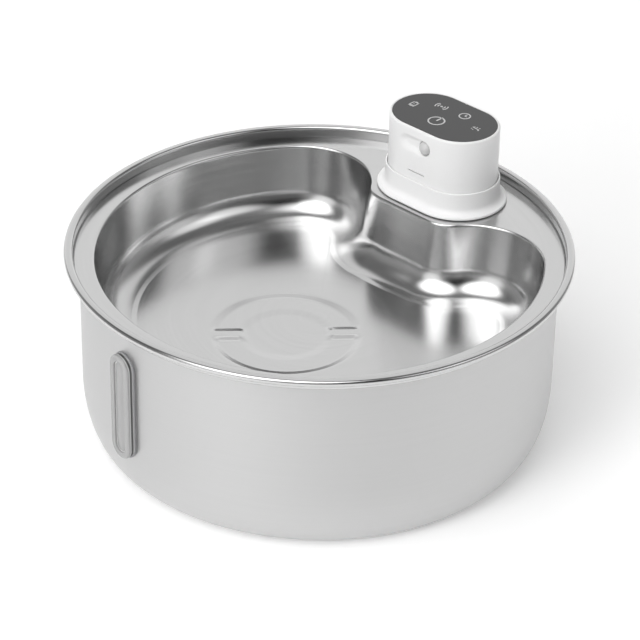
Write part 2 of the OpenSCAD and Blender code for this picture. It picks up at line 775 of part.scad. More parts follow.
// Clear dome with a flange behind the scoop's floor
module sensor_lens() {
    depth = dome_r - dome_proud;
    color([0.9, 0.9, 0.9, 0.6]) at_head() at_dome() translate([0, 0, -depth]) difference() {
        union() {
            intersection() {
                sphere(r = dome_r);
                cylinder(h = dome_r + 1, r = dome_r + 1);
            }
            translate([0, 0, depth + front - dome_seat])
                cylinder(h = dome_seat - front - depth + eps, r = dome_r);
            translate([0, 0, depth + front - dome_seat - dome_flange])
                cylinder(h = dome_flange, r = dome_r + dome_flange);
        }
        sphere(r = dome_r - 1);
        translate([0, 0, -6]) cylinder(h = 6, r = dome_r - 1);
    }
}

module sensor_can() {
    color([0.75, 0.75, 0.75]) at_head() at_dome() translate([0, 0, front - sensor_y])
        cylinder(h = sensor_y - dome_seat + 0.6, r = 2.6);
}

module sensor_board() {
    color([0.1, 0.4, 0.2]) at_head() block([dome_x - sensor_post - 1.4, sensor_y, rim_z + scoop_z - 5],
        [dome_x + sensor_post + 1.4, sensor_y + 1.2, rim_z + scoop_z + 5]);
}

module outlet_nozzle() {
    slit = rim_z + slit_z;
    color([0.9, 0.9, 0.9]) at_head() difference() {
        block([-duct_w / 2 - 1, -shell_in + 0.05, slit - 2.5], [duct_w / 2 + 1, duct_back + 1, slit + 2.4]);
        block([-slit_half, -shell_in - 1, slit - slit_h / 2],
            [slit_half, duct_back - duct_wall, slit + slit_h / 2]);
        block([-duct_w / 2 + duct_wall, duct_front + duct_wall, slit - 2],
            [duct_w / 2 - duct_wall, duct_back - duct_wall, slit + 1.2]);
        block([-duct_w / 2 - 0.05, duct_front - 0.05, slit - 5],
            [duct_w / 2 + 0.05, duct_back + 0.05, slit - 1.5]);
    }
}

module riser_duct() {
    color([0.88, 0.88, 0.88]) at_head() difference() {
        block([-duct_w / 2, duct_front, duct_foot], [duct_w / 2, duct_back, duct_top]);
        block([-duct_w / 2 + duct_wall, duct_front + duct_wall, duct_foot - 1],
            [duct_w / 2 - duct_wall, duct_back - duct_wall, duct_top + 1]);
    }
}

// Hole for the riser duct in what lies across the head
module duct_cut(z, h) {
    block([-duct_w / 2 - 0.1, duct_front - 0.1, z - 1], [duct_w / 2 + 0.1, duct_back + 0.1, z + h + 1]);
}

module lead_cut(z, h) {
    translate([lead_x, 0, z - 1]) cylinder(h = h + 2, r = lead_r + 0.3);
}

module charge_socket() {
    port = rim_z + port_z;
    mouth = cover_floor - 0.05;
    color([0.75, 0.75, 0.76]) at_head() difference() {
        block([-port_w / 2 + 0.05, mouth - 7.5, port - port_h / 2 + 0.05],
            [port_w / 2 - 0.05, mouth, port + port_h / 2 - 0.05]);
        difference() {
            block([-port_w / 2 + port_wall, mouth - 6.5, port - port_h / 2 + port_wall],
                [port_w / 2 - port_wall, mouth + 1, port + port_h / 2 - port_wall]);
            block([-tongue_w / 2, mouth - 7, port - tongue_t / 2],
                [tongue_w / 2, mouth - 1, port + tongue_t / 2]);
        }
    }
}

module charge_board() {
    color([0.1, 0.4, 0.2]) at_head() block([-charge_w / 2, port_in - charge_d, charge_z],
        [charge_w / 2, port_in - 0.1, charge_z + board_t]);
}

module port_cover() {
    color([0.92, 0.92, 0.92]) at_head() union() {
        translate([0, cover_axis_y, cover_axis_z]) rotate([0, 90, 0]) {
            cylinder(h = cover_w, r = cover_t / 2, center = true);
            cylinder(h = cover_w + 3, r = cover_pin_r, center = true);
        }
        block([-cover_w / 2, cover_axis_y - cover_t / 2, cover_axis_z],
            [cover_w / 2, cover_axis_y + cover_t / 2, cover_axis_z + cover_h - cover_t / 2]);
        block([-cover_lip_w / 2, cover_axis_y, cover_axis_z + cover_h - cover_t - 1],
            [cover_lip_w / 2, back + 0.5, cover_axis_z + cover_h - cover_t]);
    }
}

module pump_screw_places() {
    for (x = [-pump_screw_x, pump_screw_x], y = [-pump_screw_y, pump_screw_y])
        translate([x, y, 0]) children();
}

module stem_case() {
    color([0.9, 0.9, 0.9]) at_head() difference() {
        union() {
            band(case_in, case_r, case_z, case_top - case_z);
            slab(case_in + eps, case_z, case_floor);
            translate([0, 0, case_z]) cylinder(h = well_top + well_roof - case_z, r = well_r + well_wall);
            translate([0, 0, case_z]) pump_screw_places() cylinder(h = case_floor + 5, r = 2.4);
            intersection() {
                at_case_screws() translate([0, 0, head_r - case_r + 0.4])
                    cylinder(h = case_boss_l, r = case_boss_r);
                slab(case_r - 0.2, case_z, case_top - case_z);
            }
        }
        translate([0, 0, case_z - 1]) cylinder(h = well_top - case_z + 1, r = well_r);
        translate([0, 0, well_top - 1]) cylinder(h = bush_h + 1, r = bush_r + snug);
        translate([0, 0, case_z - 1]) pump_screw_places() cylinder(h = case_floor + 5, r = pump_screw_r + 0.02);
        duct_cut(case_z, case_floor);
        band(case_r - seal_d, case_r + 1, seal_z, seal_h);
        at_case_screws() translate([0, 0, -1])
            cylinder(h = head_r - case_r + case_boss_l, r = case_screw_r + snug);
    }
}

module case_seal() {
    color([0.25, 0.25, 0.25]) at_head()
        band(case_r - seal_d + 0.05, shell_in - snug, seal_z + 0.1, seal_h - 0.2);
}

module case_screws() {
    color([0.7, 0.7, 0.7]) at_head() at_case_screws() {
        translate([0, 0, 0.1]) cylinder(h = 0.9, r = 1.8);
        translate([0, 0, 0.1]) cylinder(h = head_r - case_r + case_boss_l - 1.3, r = case_screw_r);
    }
}

module cell_places() {
    for (x = [-cell_x, cell_x]) translate([x, cell_y, 0]) children();
}

module cell_holder() {
    color([0.2, 0.2, 0.2]) at_head() difference() {
        slab(case_in - 0.3, holder_z, holder_t);
        duct_cut(holder_z, holder_t);
        lead_cut(holder_z, holder_t);
        cell_places() translate([0, 0, cell_z]) cylinder(h = holder_t, r = cell_r + 0.1);
    }
}

module battery_cells() {
    color([0.2, 0.35, 0.6]) at_head() cell_places() translate([0, 0, cell_z]) cylinder(h = cell_h, r = cell_r);
}

module cell_cap() {
    color([0.2, 0.2, 0.2]) at_head() difference() {
        slab(case_in - 0.3, cap_z, cap_t);
        duct_cut(cap_z, cap_t);
        lead_cut(cap_z, cap_t);
        cell_places() translate([0, 0, cap_z - 1]) cylinder(h = cell_z + cell_h - cap_z + 1, r = cell_r + 0.1);
        block([-cell_x - 3.1, cell_y - 3.1, cap_z], [cell_x + 3.1, cell_y + 3.1, cell_z + cell_h + link_t]);
    }
}

module cell_links() {
    color([0.8, 0.8, 0.75]) at_head() block([-cell_x - 3, cell_y - 3, cell_z + cell_h],
        [cell_x + 3, cell_y + 3, cell_z + cell_h + link_t]);
}

module power_board() {
    color([0.1, 0.4, 0.2]) at_head() union() {
        difference() {
            slab(case_in - 1, power_z, board_t);
            block([-duct_w / 2 - 1.2, -head_r, power_z - 1],
                [duct_w / 2 + 1.2, duct_back + 1.2, power_z + board_t + 1]);
            lead_cut(power_z + board_t / 2, board_t);
        }
        for (x = [-20, -8, 6]) block([x, -4, power_z + board_t - eps], [x + 7, 4, power_z + board_t + 1.4]);
    }
}

// Six-toothed core around the magnet's well, with a winding on each tooth
module stator_core() {
    color([0.5, 0.5, 0.52]) at_head() union() {
        translate([0, 0, core_z]) difference() {
            cylinder(h = core_h, r = core_r);
            translate([0, 0, -1]) cylinder(h = core_h + 2, r = core_r - core_yoke);
        }
        difference() {
            for (turn = [0:60:300]) rotate([0, 0, turn])
                block([2, -tooth_w / 2, core_z + tooth_gap],
                    [core_r - core_yoke + 0.5, tooth_w / 2, core_z + core_h - tooth_gap]);
            translate([0, 0, core_z - 1]) cylinder(h = core_h + 2, r = well_r + well_wall + 0.1);
        }
    }
}

module stator_coils() {
    near = well_r + well_wall + 0.5;
    far = core_r - core_yoke - 0.3;
    color([0.75, 0.42, 0.2]) at_head() for (turn = [0:60:300]) rotate([0, 0, turn]) difference() {
        block([near, -tooth_w / 2 - coil_t, core_z + 0.2],
            [far, tooth_w / 2 + coil_t, core_z + core_h - 0.2]);
        block([near - 1, -tooth_w / 2, core_z + tooth_gap],
            [far + 1, tooth_w / 2, core_z + core_h - tooth_gap]);
    }
}

module motor_lead() {
    color([0.8, 0.15, 0.12]) at_head() union() {
        translate([core_r, 0, lead_z]) rotate([0, 90, 0]) cylinder(h = lead_x - core_r, r = lead_r);
        translate([lead_x, 0, lead_z]) sphere(r = lead_r);
        translate([lead_x, 0, lead_z]) cylinder(h = power_z - lead_z, r = lead_r);
    }
}

module pump_housing() {
    outer = case_r - 0.1;
    color([0.85, 0.85, 0.86]) at_head() difference() {
        union() {
            slab(outer, pump_z, case_z - pump_z);
            translate([0, 0, pump_low]) difference() {
                cylinder(h = skirt_h + eps, r = skirt_r);
                translate([0, 0, -1]) cylinder(h = skirt_h + 1, r = skirt_r - skirt_wall);
            }
            translate([0, 0, plate_z]) cylinder(h = plate_t, r = skirt_r - 0.5);
            for (end = [0, 180]) rotate([0, 0, end]) translate([skirt_r - 1, 0, lug_z]) rotate([0, 90, 0])
                cylinder(h = 2, r = lug_r);
        }
        translate([0, 0, chamber_z]) cylinder(h = pump_h + 1, r = chamber_r);
        // Intake around the hub
        difference() {
            translate([0, 0, plate_z - 2]) cylinder(h = plate_t + 3, r = intake_r);
            translate([0, 0, plate_z - 3]) cylinder(h = plate_t + 5, r = hub_r);
            for (turn = [30:120:270]) rotate([0, 0, turn])
                block([0, -spoke_w / 2, plate_z - 3], [intake_r + 1, spoke_w / 2, plate_z + 3]);
        }
        // Outlet from the chamber up into the duct
        block([-duct_w / 2 + duct_wall, duct_front + duct_wall, chamber_z + 0.9],
            [duct_w / 2 - duct_wall, -chamber_r + 2, duct_foot]);
        block([-duct_w / 2 - 0.05, duct_front - 0.05, duct_foot],
            [duct_w / 2 + 0.05, duct_back + 0.05, case_z + 1]);
        translate([0, 0, socket_z]) cylinder(h = plate_t + 1, r = bush_r + snug);
        band(outer - 1.25, outer - 0.45, case_z - 0.8, 1);
        translate([0, 0, pump_z - 1]) pump_screw_places() cylinder(h = pump_h + 2, r = pump_screw_r + 0.1);
    }
}

module pump_screws() {
    color([0.7, 0.7, 0.7]) at_head() pump_screw_places() {
        translate([0, 0, pump_z - 1.2]) cylinder(h = 1.2, r = 2 * pump_screw_r);
        translate([0, 0, pump_z]) cylinder(h = pump_h + case_floor + 3, r = pump_screw_r);
    }
}

module pump_seal() {
    color([0.25, 0.25, 0.25]) at_head() band(case_r - 1.3, case_r - 0.6, case_z - 0.75, 0.75);
}

module rotor_shaft() {
    color([0.93, 0.92, 0.88]) at_head() translate([0, 0, socket_z])
        cylinder(h = shaft_top - socket_z, r = shaft_r);
}

module shaft_bushes() {
    color([0.3, 0.3, 0.3]) at_head() for (place = [[socket_z, chamber_z - socket_z], [well_top, bush_h]])
        translate([0, 0, place[0] + snug]) difference() {
        cylinder(h = place[1] - 2 * snug, r = bush_r);
        translate([0, 0, -1]) cylinder(h = bush_h + 2, r = shaft_r + snug);
    }
}

module impeller() {
    color([0.95, 0.95, 0.95]) at_head() difference() {
        union() {
            for (i = [0:blades - 1]) rotate([0, 0, i * 360 / blades])
                block([spindle_r, -blade_t / 2, blade_z],
                    [impeller_r, blade_t / 2, blade_z + blade_h + disc_t / 2]);
            translate([0, 0, blade_z]) cylinder(h = blade_h + disc_t / 2, r = hub_r);
            translate([0, 0, blade_z + blade_h]) cylinder(h = disc_t, r = impeller_r + 0.3);
            translate([0, 0, blade_z + 1]) cylinder(h = magnet_top - blade_z - 1, r = spindle_r);
        }
        translate([0, 0, blade_z - 1]) cylinder(h = magnet_top - blade_z + 2, r = shaft_r + shaft_gap);
    }
}

module rotor_magnet() {
    color([0.3, 0.3, 0.32]) at_head() translate([0, 0, magnet_z]) difference() {
        cylinder(h = magnet_top - magnet_z - 0.5, r = magnet_r);
        translate([0, 0, -1]) cylinder(h = magnet_top - magnet_z + 2, r = spindle_r + 0.02);
    }
}

module filter_cup() {
    color([0.8, 0.85, 0.9, 0.7]) at_head() difference() {
        translate([0, 0, cup_z]) cylinder(h = cup_top - cup_z, r = cup_r);
        translate([0, 0, cup_z + cup_wall]) cylinder(h = cup_top, r = cup_in);
        // Intake slots in the side and in the bottom
        for (turn = [0:22.5:350]) rotate([0, 0, turn + 11])
            block([cup_in - 1, -slot_w / 2, cup_z + 3], [cup_r + 1, slot_w / 2, cup_z + media_h - 2]);
        for (turn = [0:45:350]) rotate([0, 0, turn])
            block([5, -slot_w / 2, cup_z - 1], [cup_in - 3, slot_w / 2, cup_z + cup_wall + 1]);
        // Bayonet: up from the locked place, then open to the rim
        for (end = [0, 180]) rotate([0, 0, end]) {
            rotate([0, 0, -lock_turn - 5]) rotate_extrude(angle = lock_turn + 10)
                translate([cup_in - 1, lug_z - lug_r - slot_fit])
                    square([cup_wall + 2, 2 * (lug_r + slot_fit)]);
            rotate([0, 0, -lock_turn])
                block([cup_in - 1, -lug_r - slot_fit, lug_z], [cup_r + 1, lug_r + slot_fit, cup_top + 1]);
        }
    }
}

module filter_media() {
    color([0.25, 0.25, 0.25]) at_head() translate([0, 0, cup_z + cup_wall + 0.1])
        cylinder(h = media_h, r = cup_in - 0.5);
}

module filter_sponge() {
    low = cup_z + cup_wall + media_h + 0.3;
    color([0.9, 0.88, 0.8]) at_head() translate([0, 0, low]) difference() {
        cylinder(h = pump_low - 0.5 - low, r = cup_in - 0.5);
        translate([0, 0, -1]) cylinder(h = pump_low, r = intake_r);
    }
}

tank();
foot_ring();
window_lens();
window_gasket();
window_frame();
window_screws();
tray();
collar();
collar_clamp();
collar_screws();
head_shell();
touch_panel();
touch_board();
touch_pads();
board_screws();
sensor_lens();
sensor_can();
sensor_board();
outlet_nozzle();
riser_duct();
charge_socket();
charge_board();
port_cover();
stem_case();
case_seal();
case_screws();
cell_holder();
battery_cells();
cell_cap();
cell_links();
power_board();
stator_core();
stator_coils();
motor_lead();
pump_housing();
pump_screws();
pump_seal();
rotor_shaft();
shaft_bushes();
impeller();
rotor_magnet();
filter_cup();
filter_media();
filter_sponge();
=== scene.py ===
import math

import bmesh
import bpy
from mathutils import Matrix, Vector


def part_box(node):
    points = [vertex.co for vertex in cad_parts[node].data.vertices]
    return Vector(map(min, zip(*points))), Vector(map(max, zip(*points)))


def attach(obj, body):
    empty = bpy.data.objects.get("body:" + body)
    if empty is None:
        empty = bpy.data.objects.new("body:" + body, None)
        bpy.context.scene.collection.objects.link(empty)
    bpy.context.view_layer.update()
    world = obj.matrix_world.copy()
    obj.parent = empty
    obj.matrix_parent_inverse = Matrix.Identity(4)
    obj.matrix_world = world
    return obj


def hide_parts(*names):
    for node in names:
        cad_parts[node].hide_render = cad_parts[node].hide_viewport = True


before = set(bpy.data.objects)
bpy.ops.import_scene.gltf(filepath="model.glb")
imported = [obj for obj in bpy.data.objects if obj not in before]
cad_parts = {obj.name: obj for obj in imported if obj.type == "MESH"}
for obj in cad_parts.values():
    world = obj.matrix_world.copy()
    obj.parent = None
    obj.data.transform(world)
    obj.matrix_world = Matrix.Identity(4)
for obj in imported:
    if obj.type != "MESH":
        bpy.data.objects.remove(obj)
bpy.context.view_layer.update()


# ---- Camera ---------------------------------------------------------------------------------
# The photograph looks down on the fountain from the right of its basin's side, with a long lens
# that is turned a little about its own axis. The camera aims at a point near the rim's middle.
scene = bpy.context.scene
tank_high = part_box("tank")[1]
rim_r = tank_high.x
rim_z = tank_high.z
view_turn = math.radians(43.4)
view_drop = math.radians(31.89)
view_roll = math.radians(-1.08)
view_distance = 1.5654
aim_right = -0.000145
aim_up = 0.0439
picture_width = 640
lens_pixels = 2759.5

ahead = Vector((-math.sin(view_turn) * math.cos(view_drop), math.cos(view_turn) * math.cos(view_drop),
                -math.sin(view_drop)))
level_right = Vector((math.cos(view_turn), math.sin(view_turn), 0))
level_up = level_right.cross(ahead)
cam_right = math.cos(view_roll) * level_right - math.sin(view_roll) * level_up
cam_up = math.sin(view_roll) * level_right + math.cos(view_roll) * level_up
cam_place = Vector((0, 0, rim_z)) - view_distance * ahead - aim_right * cam_right - aim_up * cam_up
lens = bpy.data.cameras.new("camera")
lens.sensor_width = 36
lens.lens = lens.sensor_width * lens_pixels / picture_width
camera = bpy.data.objects.new("camera", lens)
camera.matrix_world = Matrix((
    (cam_right.x, cam_up.x, -ahead.x, cam_place.x),
    (cam_right.y, cam_up.y, -ahead.y, cam_place.y),
    (cam_right.z, cam_up.z, -ahead.z, cam_place.z),
    (0, 0, 0, 1)))
scene.collection.objects.link(camera)
scene.camera = camera
scene.view_settings.view_transform = "Standard"


# ---- Studio ---------------------------------------------------------------------------------
# A white floor that fills the picture. Steel looks like what stands around it, so the sky holds
# a white backdrop behind the fountain, a large soft box high on the left and small ones on the
# right, with a dimmer room between them. The steel doesn't mirror the soft lamp on the near left.
def blank_material(name):
    """A new material, with its node tree and its shader."""
    material = bpy.data.materials.new(name)
    material.use_nodes = True
    tree = material.node_tree
    return material, tree, tree.nodes["Principled BSDF"]


def new_piece(name, mesh):
    """Turns a finished bmesh into an object of the scene."""
    data = bpy.data.meshes.new(name)
    mesh.to_mesh(data)
    mesh.free()
    piece = bpy.data.objects.new(name, data)
    scene.collection.objects.link(piece)
    return piece


def math_node(tree, operation, *inputs):
    """A Math node whose inputs are numbers or other nodes' outputs."""
    node = tree.nodes.new("ShaderNodeMath")
    node.operation = operation
    for socket, value in zip(node.inputs, inputs):
        if isinstance(value, (int, float)):
            socket.default_value = value
        else:
            tree.links.new(value, socket)
    return node.outputs[0]


def ramp_node(tree, factor, stops):
    """A colour ramp of grey tones over a factor: stops are (position, grey)."""
    node = tree.nodes.new("ShaderNodeValToRGB")
    node.color_ramp.interpolation = "EASE"
    points = node.color_ramp.elements
    while len(points) < len(stops):
        points.new(0.5)
    for point, (position, grey) in zip(points, stops):
        point.position = position
        point.color = (grey, grey, grey, 1)
    tree.links.new(factor, node.inputs["Fac"])
    return node.outputs["Color"]


sky = bpy.data.worlds.new("studio")
scene.world = sky
sky.use_nodes = True
sky_tree = sky.node_tree
sky_way = sky_tree.nodes.new("ShaderNodeTexCoord").outputs["Generated"]
sky_split = sky_tree.nodes.new("ShaderNodeSeparateXYZ")
sky_tree.links.new(sky_way, sky_split.inputs[0])
level_ahead = Vector((0, 0, 1)).cross(level_right)


def light_patch(turn, rise, inner, outer, strength):
    """A soft round patch of the sky, full within the inner angle and gone at the outer one, in degrees.
    Its turn is measured from the far side to the right, its rise from the horizon."""
    turn, rise, inner, outer = (math.radians(angle) for angle in (turn, rise, inner, outer))
    middle = math.cos(rise) * (math.cos(turn) * level_ahead + math.sin(turn) * level_right)
    middle.z = math.sin(rise)
    near = sky_tree.nodes.new("ShaderNodeVectorMath")
    near.operation = "DOT_PRODUCT"
    near.inputs[1].default_value = middle
    sky_tree.links.new(sky_way, near.inputs[0])
    patch = sky_tree.nodes.new("ShaderNodeMapRange")
    patch.interpolation_type = "SMOOTHSTEP"
    patch.inputs["From Min"].default_value = math.cos(outer)
    patch.inputs["From Max"].default_value = math.cos(inner)
    patch.inputs["To Max"].default_value = strength
    sky_tree.links.new(near.outputs["Value"], patch.inputs["Value"])
    return patch.outputs["Result"]


room_tones = [(0.0, 0.36), (0.35, 0.33), (0.72, 0.14), (1.0, 0.18)]
light_patches = (
    (-2, 18, 30, 44, 0.66),  # the backdrop
    (216, 63, 12, 34, 2.7),  # the large soft box
    (93, 45, 6, 17, 0.9),  # the small soft boxes on the right
    (122, 44, 6, 19, 1.0),
    (222, 28, 8, 28, 0.8),  # the pale wall below the large soft box
    (150, 26, 14, 38, -0.2),  # the dark side of the room beside the camera
    (0, 55, 4, 11, 0.5))  # a small light above the backdrop
sky_light = ramp_node(sky_tree, sky_split.outputs["Z"], room_tones)
for patch in light_patches:
    sky_light = math_node(sky_tree, "ADD", sky_light, light_patch(*patch))
sky_tree.links.new(sky_light, sky_tree.nodes["Background"].inputs["Strength"])
sky_tree.nodes["Background"].inputs["Color"].default_value = (1, 1, 1, 1)

fill_lamp = bpy.data.lights.new("fill_lamp", "AREA")
fill_lamp.shape = "DISK"
fill_lamp.size = 0.8
fill_lamp.energy = 9
fill = bpy.data.objects.new("fill_lamp", fill_lamp)
fill_turn, fill_rise = math.radians(218), math.radians(24)
fill_way = math.cos(fill_rise) * (math.cos(fill_turn) * level_ahead + math.sin(fill_turn) * level_right)
fill_way.z = math.sin(fill_rise)
fill_away = 1.7
fill.location = fill_away * fill_way
fill.rotation_euler = fill_way.to_track_quat("Z", "Y").to_euler()
fill.visible_glossy = False
scene.collection.objects.link(fill)

floor_material, _, floor_shader = blank_material("studio_floor")
floor_shader.inputs["Base Color"].default_value = (0.93, 0.93, 0.93, 1)
floor_shader.inputs["Roughness"].default_value = 0.9
floor_shader.inputs["Emission Color"].default_value = (1, 1, 1, 1)
floor_shader.inputs["Emission Strength"].default_value = 0.2
floor_mesh = bmesh.new()
bmesh.ops.create_circle(floor_mesh, cap_ends=True, segments=96, radius=6)
floor = new_piece("studio_floor", floor_mesh)
floor.data.materials.append(floor_material)


# ---- Tank -----------------------------------------------------------------------------------
# The reservoir is drawn from one round of 0.8 mm steel: a flat bottom, a wide rounded foot, a
# straight wall, a ledge that carries the tray, and a rim whose edge is rolled outwards. A slot
# is cut through its wall for the level window.
sheet_wall = 0.0008
base_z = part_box("foot_ring")[1].z + sheet_wall / 2
tank_r = 0.1364
wall_r = tank_r - sheet_wall / 2
foot_round = (0.014, 0.035)
bend_r = 0.0014
roll_r = 0.0015
lip_w = 0.0045
tray_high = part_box("tray")[1]
deck_z = tray_high.z
ledge_z = deck_z - sheet_wall - 0.0001 - sheet_wall / 2
rim_in_r = rim_r - lip_w - sheet_wall / 2
roll_at = rim_r - sheet_wall / 2 - roll_r
rim_steps = 256


def arc(center, radius, start, end, steps):
    """Points along an arc, or an oval's quarter where radius is a pair, from start to end in degrees."""
    wide, high = radius if isinstance(radius, tuple) else (radius, radius)
    turns = [math.radians(start + (end - start) * k / steps) for k in range(steps + 1)]
    return [(center[0] + wide * math.cos(t), center[1] + high * math.sin(t)) for t in turns]


def spun(profile, steps):
    """A bmesh made by turning a line of (radius, height) points once round the upright axis."""
    mesh = bmesh.new()
    line = [mesh.verts.new((r, 0, z)) for r, z in profile]
    edges = [mesh.edges.new(pair) for pair in zip(line, line[1:])]
    bmesh.ops.spin(mesh, geom=line + edges, cent=(0, 0, 0), axis=(0, 0, 1), angle=2 * math.pi, steps=steps,
                   use_merge=True)
    bmesh.ops.remove_doubles(mesh, verts=mesh.verts, dist=1e-7)
    bmesh.ops.recalc_face_normals(mesh, faces=mesh.faces)
    return mesh


def settle(piece):
    """Turns the piece's modifiers into its mesh."""
    graph = bpy.context.evaluated_depsgraph_get()
    made = bpy.data.meshes.new_from_object(piece.evaluated_get(graph))
    piece.modifiers.clear()
    piece.data = made


def thicken(piece, wall, offset):
    """Gives a sheet its wall: offset 0 to both sides, -1 inwards."""
    shell = piece.modifiers.new("wall", "SOLIDIFY")
    shell.thickness = wall
    shell.offset = offset
    shell.use_even_offset = True
    settle(piece)


def cut_out(piece, tool_mesh, operation="DIFFERENCE"):
    """Cuts the shape of a closed bmesh out of the piece, or joins it on where the operation is UNION."""
    bmesh.ops.recalc_face_normals(tool_mesh, faces=tool_mesh.faces)
    tool = new_piece("tool", tool_mesh)
    change = piece.modifiers.new("change", "BOOLEAN")
    change.operation = operation
    change.solver = "EXACT"
    change.object = tool
    settle(piece)
    bpy.data.objects.remove(tool)


def join_on(piece, mesh):
    """Joins the shape of a closed bmesh to the piece."""
    cut_out(piece, mesh, "UNION")


def round_off(piece, sharp_from=35):
    """Smooth shading that breaks at edges sharper than an angle in degrees."""
    piece.data.shade_smooth()
    piece.data.set_sharp_from_angle(angle=math.radians(sharp_from))


def hand_over(piece, body, slot, material, *replaced):
    """Gives the finished piece its material, its body and the nodes it stands for."""
    piece.data.materials.clear()
    piece.data.materials.append(material)
    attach(piece, body)
    if replaced:
        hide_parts(*replaced)


polished_rough = 0.16


def steel(name, tone, tone_change, rough, rough_change, quick, slow, bump, anisotropy, polished_from=None):
    """Brushed or drawn steel. Its streaks run round the fountain: they change quickly across the sheet and
    slowly along it. Above the height polished_from it is polished."""
    material, tree, shader = blank_material(name)
    place = tree.nodes.new("ShaderNodeTexCoord").outputs["Object"]
    split = tree.nodes.new("ShaderNodeSeparateXYZ")
    tree.links.new(place, split.inputs[0])
    x, y, z = split.outputs
    radius = math_node(tree, "SQRT", math_node(tree, "ADD", math_node(tree, "MULTIPLY", x, x),
                                                math_node(tree, "MULTIPLY", y, y)))
    across = math_node(tree, "MULTIPLY", math_node(tree, "ADD", radius, z), quick)
    along = tree.nodes.new("ShaderNodeCombineXYZ")
    tree.links.new(math_node(tree, "MULTIPLY", x, slow), along.inputs[0])
    tree.links.new(math_node(tree, "MULTIPLY", y, slow), along.inputs[1])
    tree.links.new(across, along.inputs[2])
    streaks = tree.nodes.new("ShaderNodeTexNoise")
    streaks.inputs["Scale"].default_value = 1
    streaks.inputs["Detail"].default_value = 3
    tree.links.new(along.outputs[0], streaks.inputs["Vector"])
    clouds = tree.nodes.new("ShaderNodeTexNoise")
    clouds.inputs["Scale"].default_value = 14
    tree.links.new(place, clouds.inputs["Vector"])
    mixed = math_node(tree, "ADD", math_node(tree, "MULTIPLY", streaks.outputs["Fac"], 0.7),
                      math_node(tree, "MULTIPLY", clouds.outputs["Fac"], 0.3))
    spread = math_node(tree, "MULTIPLY_ADD", mixed, 2 * rough_change, rough - rough_change)
    if polished_from:
        above = math_node(tree, "GREATER_THAN", z, polished_from)
        polish = math_node(tree, "MULTIPLY", above, rough - polished_rough)
        spread = math_node(tree, "SUBTRACT", spread, polish)
    tree.links.new(spread, shader.inputs["Roughness"])
    shade = ramp_node(tree, mixed, [(0.2, tone - tone_change), (0.8, tone + tone_change)])
    tree.links.new(shade, shader.inputs["Base Color"])
    lift = tree.nodes.new("ShaderNodeBump")
    lift.inputs["Strength"].default_value = bump
    lift.inputs["Distance"].default_value = 0.00005
    tree.links.new(streaks.outputs["Fac"], lift.inputs["Height"])
    tree.links.new(lift.outputs["Normal"], shader.inputs["Normal"])
    shader.inputs["Metallic"].default_value = 1
    shader.inputs["Anisotropic"].default_value = anisotropy
    if anisotropy:
        around = tree.nodes.new("ShaderNodeTangent")
        around.direction_type = "RADIAL"
        around.axis = "Z"
        tree.links.new(around.outputs[0], shader.inputs["Tangent"])
        shader.inputs["Anisotropic Rotation"].default_value = 0.25
    return material


gasket_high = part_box("window_gasket")[1]
wall_line = (
    [(0, base_z), (wall_r - foot_round[0] - 0.001, base_z)]
    + arc((wall_r - foot_round[0], base_z + foot_round[1]), foot_round, -90, 0, 24)
    + [(wall_r, base_z + foot_round[1] + 0.001), (wall_r, gasket_high.z),
       (wall_r, ledge_z - bend_r - 0.001)]
    + arc((wall_r + bend_r, ledge_z - bend_r), bend_r, 180, 90, 8)
    + arc((rim_in_r - bend_r, ledge_z + bend_r), bend_r, -90, 0, 8)
    + arc((rim_in_r + roll_r, rim_z - sheet_wall / 2 - roll_r), roll_r, 180, 90, 8)
    + [(rim_in_r + roll_r + 0.0003, rim_z - sheet_wall / 2)]
    + arc((roll_at, rim_z - sheet_wall / 2 - roll_r), roll_r, 90, -110, 14))
tank = new_piece("tank_shell", spun(wall_line, rim_steps))
thicken(tank, sheet_wall, 0)

window_turn = math.radians(-97.2)
lens_low, lens_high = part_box("window_lens")
window_z = (lens_low.z + lens_high.z) / 2
window_h = lens_high.z - lens_low.z
window_w = 0.0168
slot_w = 0.011
slot_h = window_h - window_w + slot_w


def long_ring(end_steps, side_steps, half=1):
    """The points of a ring of two half circles and two straights. Each has the middle that it is measured
    from, along the long axis, and its direction."""
    ring = []
    for end, start, steps in ((1, -90, side_steps[0]), (-1, 90, side_steps[1])):
        for k in range(end_steps):
            turn = math.radians(start + 180 * k / end_steps)
            ring.append((end * half, math.cos(turn), math.sin(turn)))
        for k in range(steps):
            ring.append((end * half * (1 - 2 * k / steps), 0, end))
    return ring


def stepped_ring(mesh, count, place, steps):
    """Draws a closed ring of points and carries it through steps, where place(point, *step) is where each
    point goes. Returns the first and the last ring's edges."""
    around = mesh.verts.layers.int.get("around") or mesh.verts.layers.int.new("around")
    ring = [mesh.verts.new(place(k, *steps[0])) for k in range(count)]
    for k, vert in enumerate(ring):
        vert[around] = k
    edges = [mesh.edges.new((ring[k], ring[(k + 1) % count])) for k in range(count)]
    first = edges
    for step in steps[1:]:
        grown = bmesh.ops.extrude_edge_only(mesh, edges=edges)["geom"]
        moved = set(part for part in grown if isinstance(part, bmesh.types.BMVert))
        for vert in moved:
            vert.co = place(vert[around], *step)
        edges = [part for part in grown
                 if isinstance(part, bmesh.types.BMEdge) and moved.issuperset(part.verts)]
    return first, edges


def capped(count, place, steps):
    """A bmesh of such a ring, closed at both ends."""
    mesh = bmesh.new()
    first, last = stepped_ring(mesh, count, place, steps)
    bmesh.ops.edgeloop_fill(mesh, edges=first)
    bmesh.ops.edgeloop_fill(mesh, edges=last)
    return mesh


upright = long_ring(24, (24, 24))


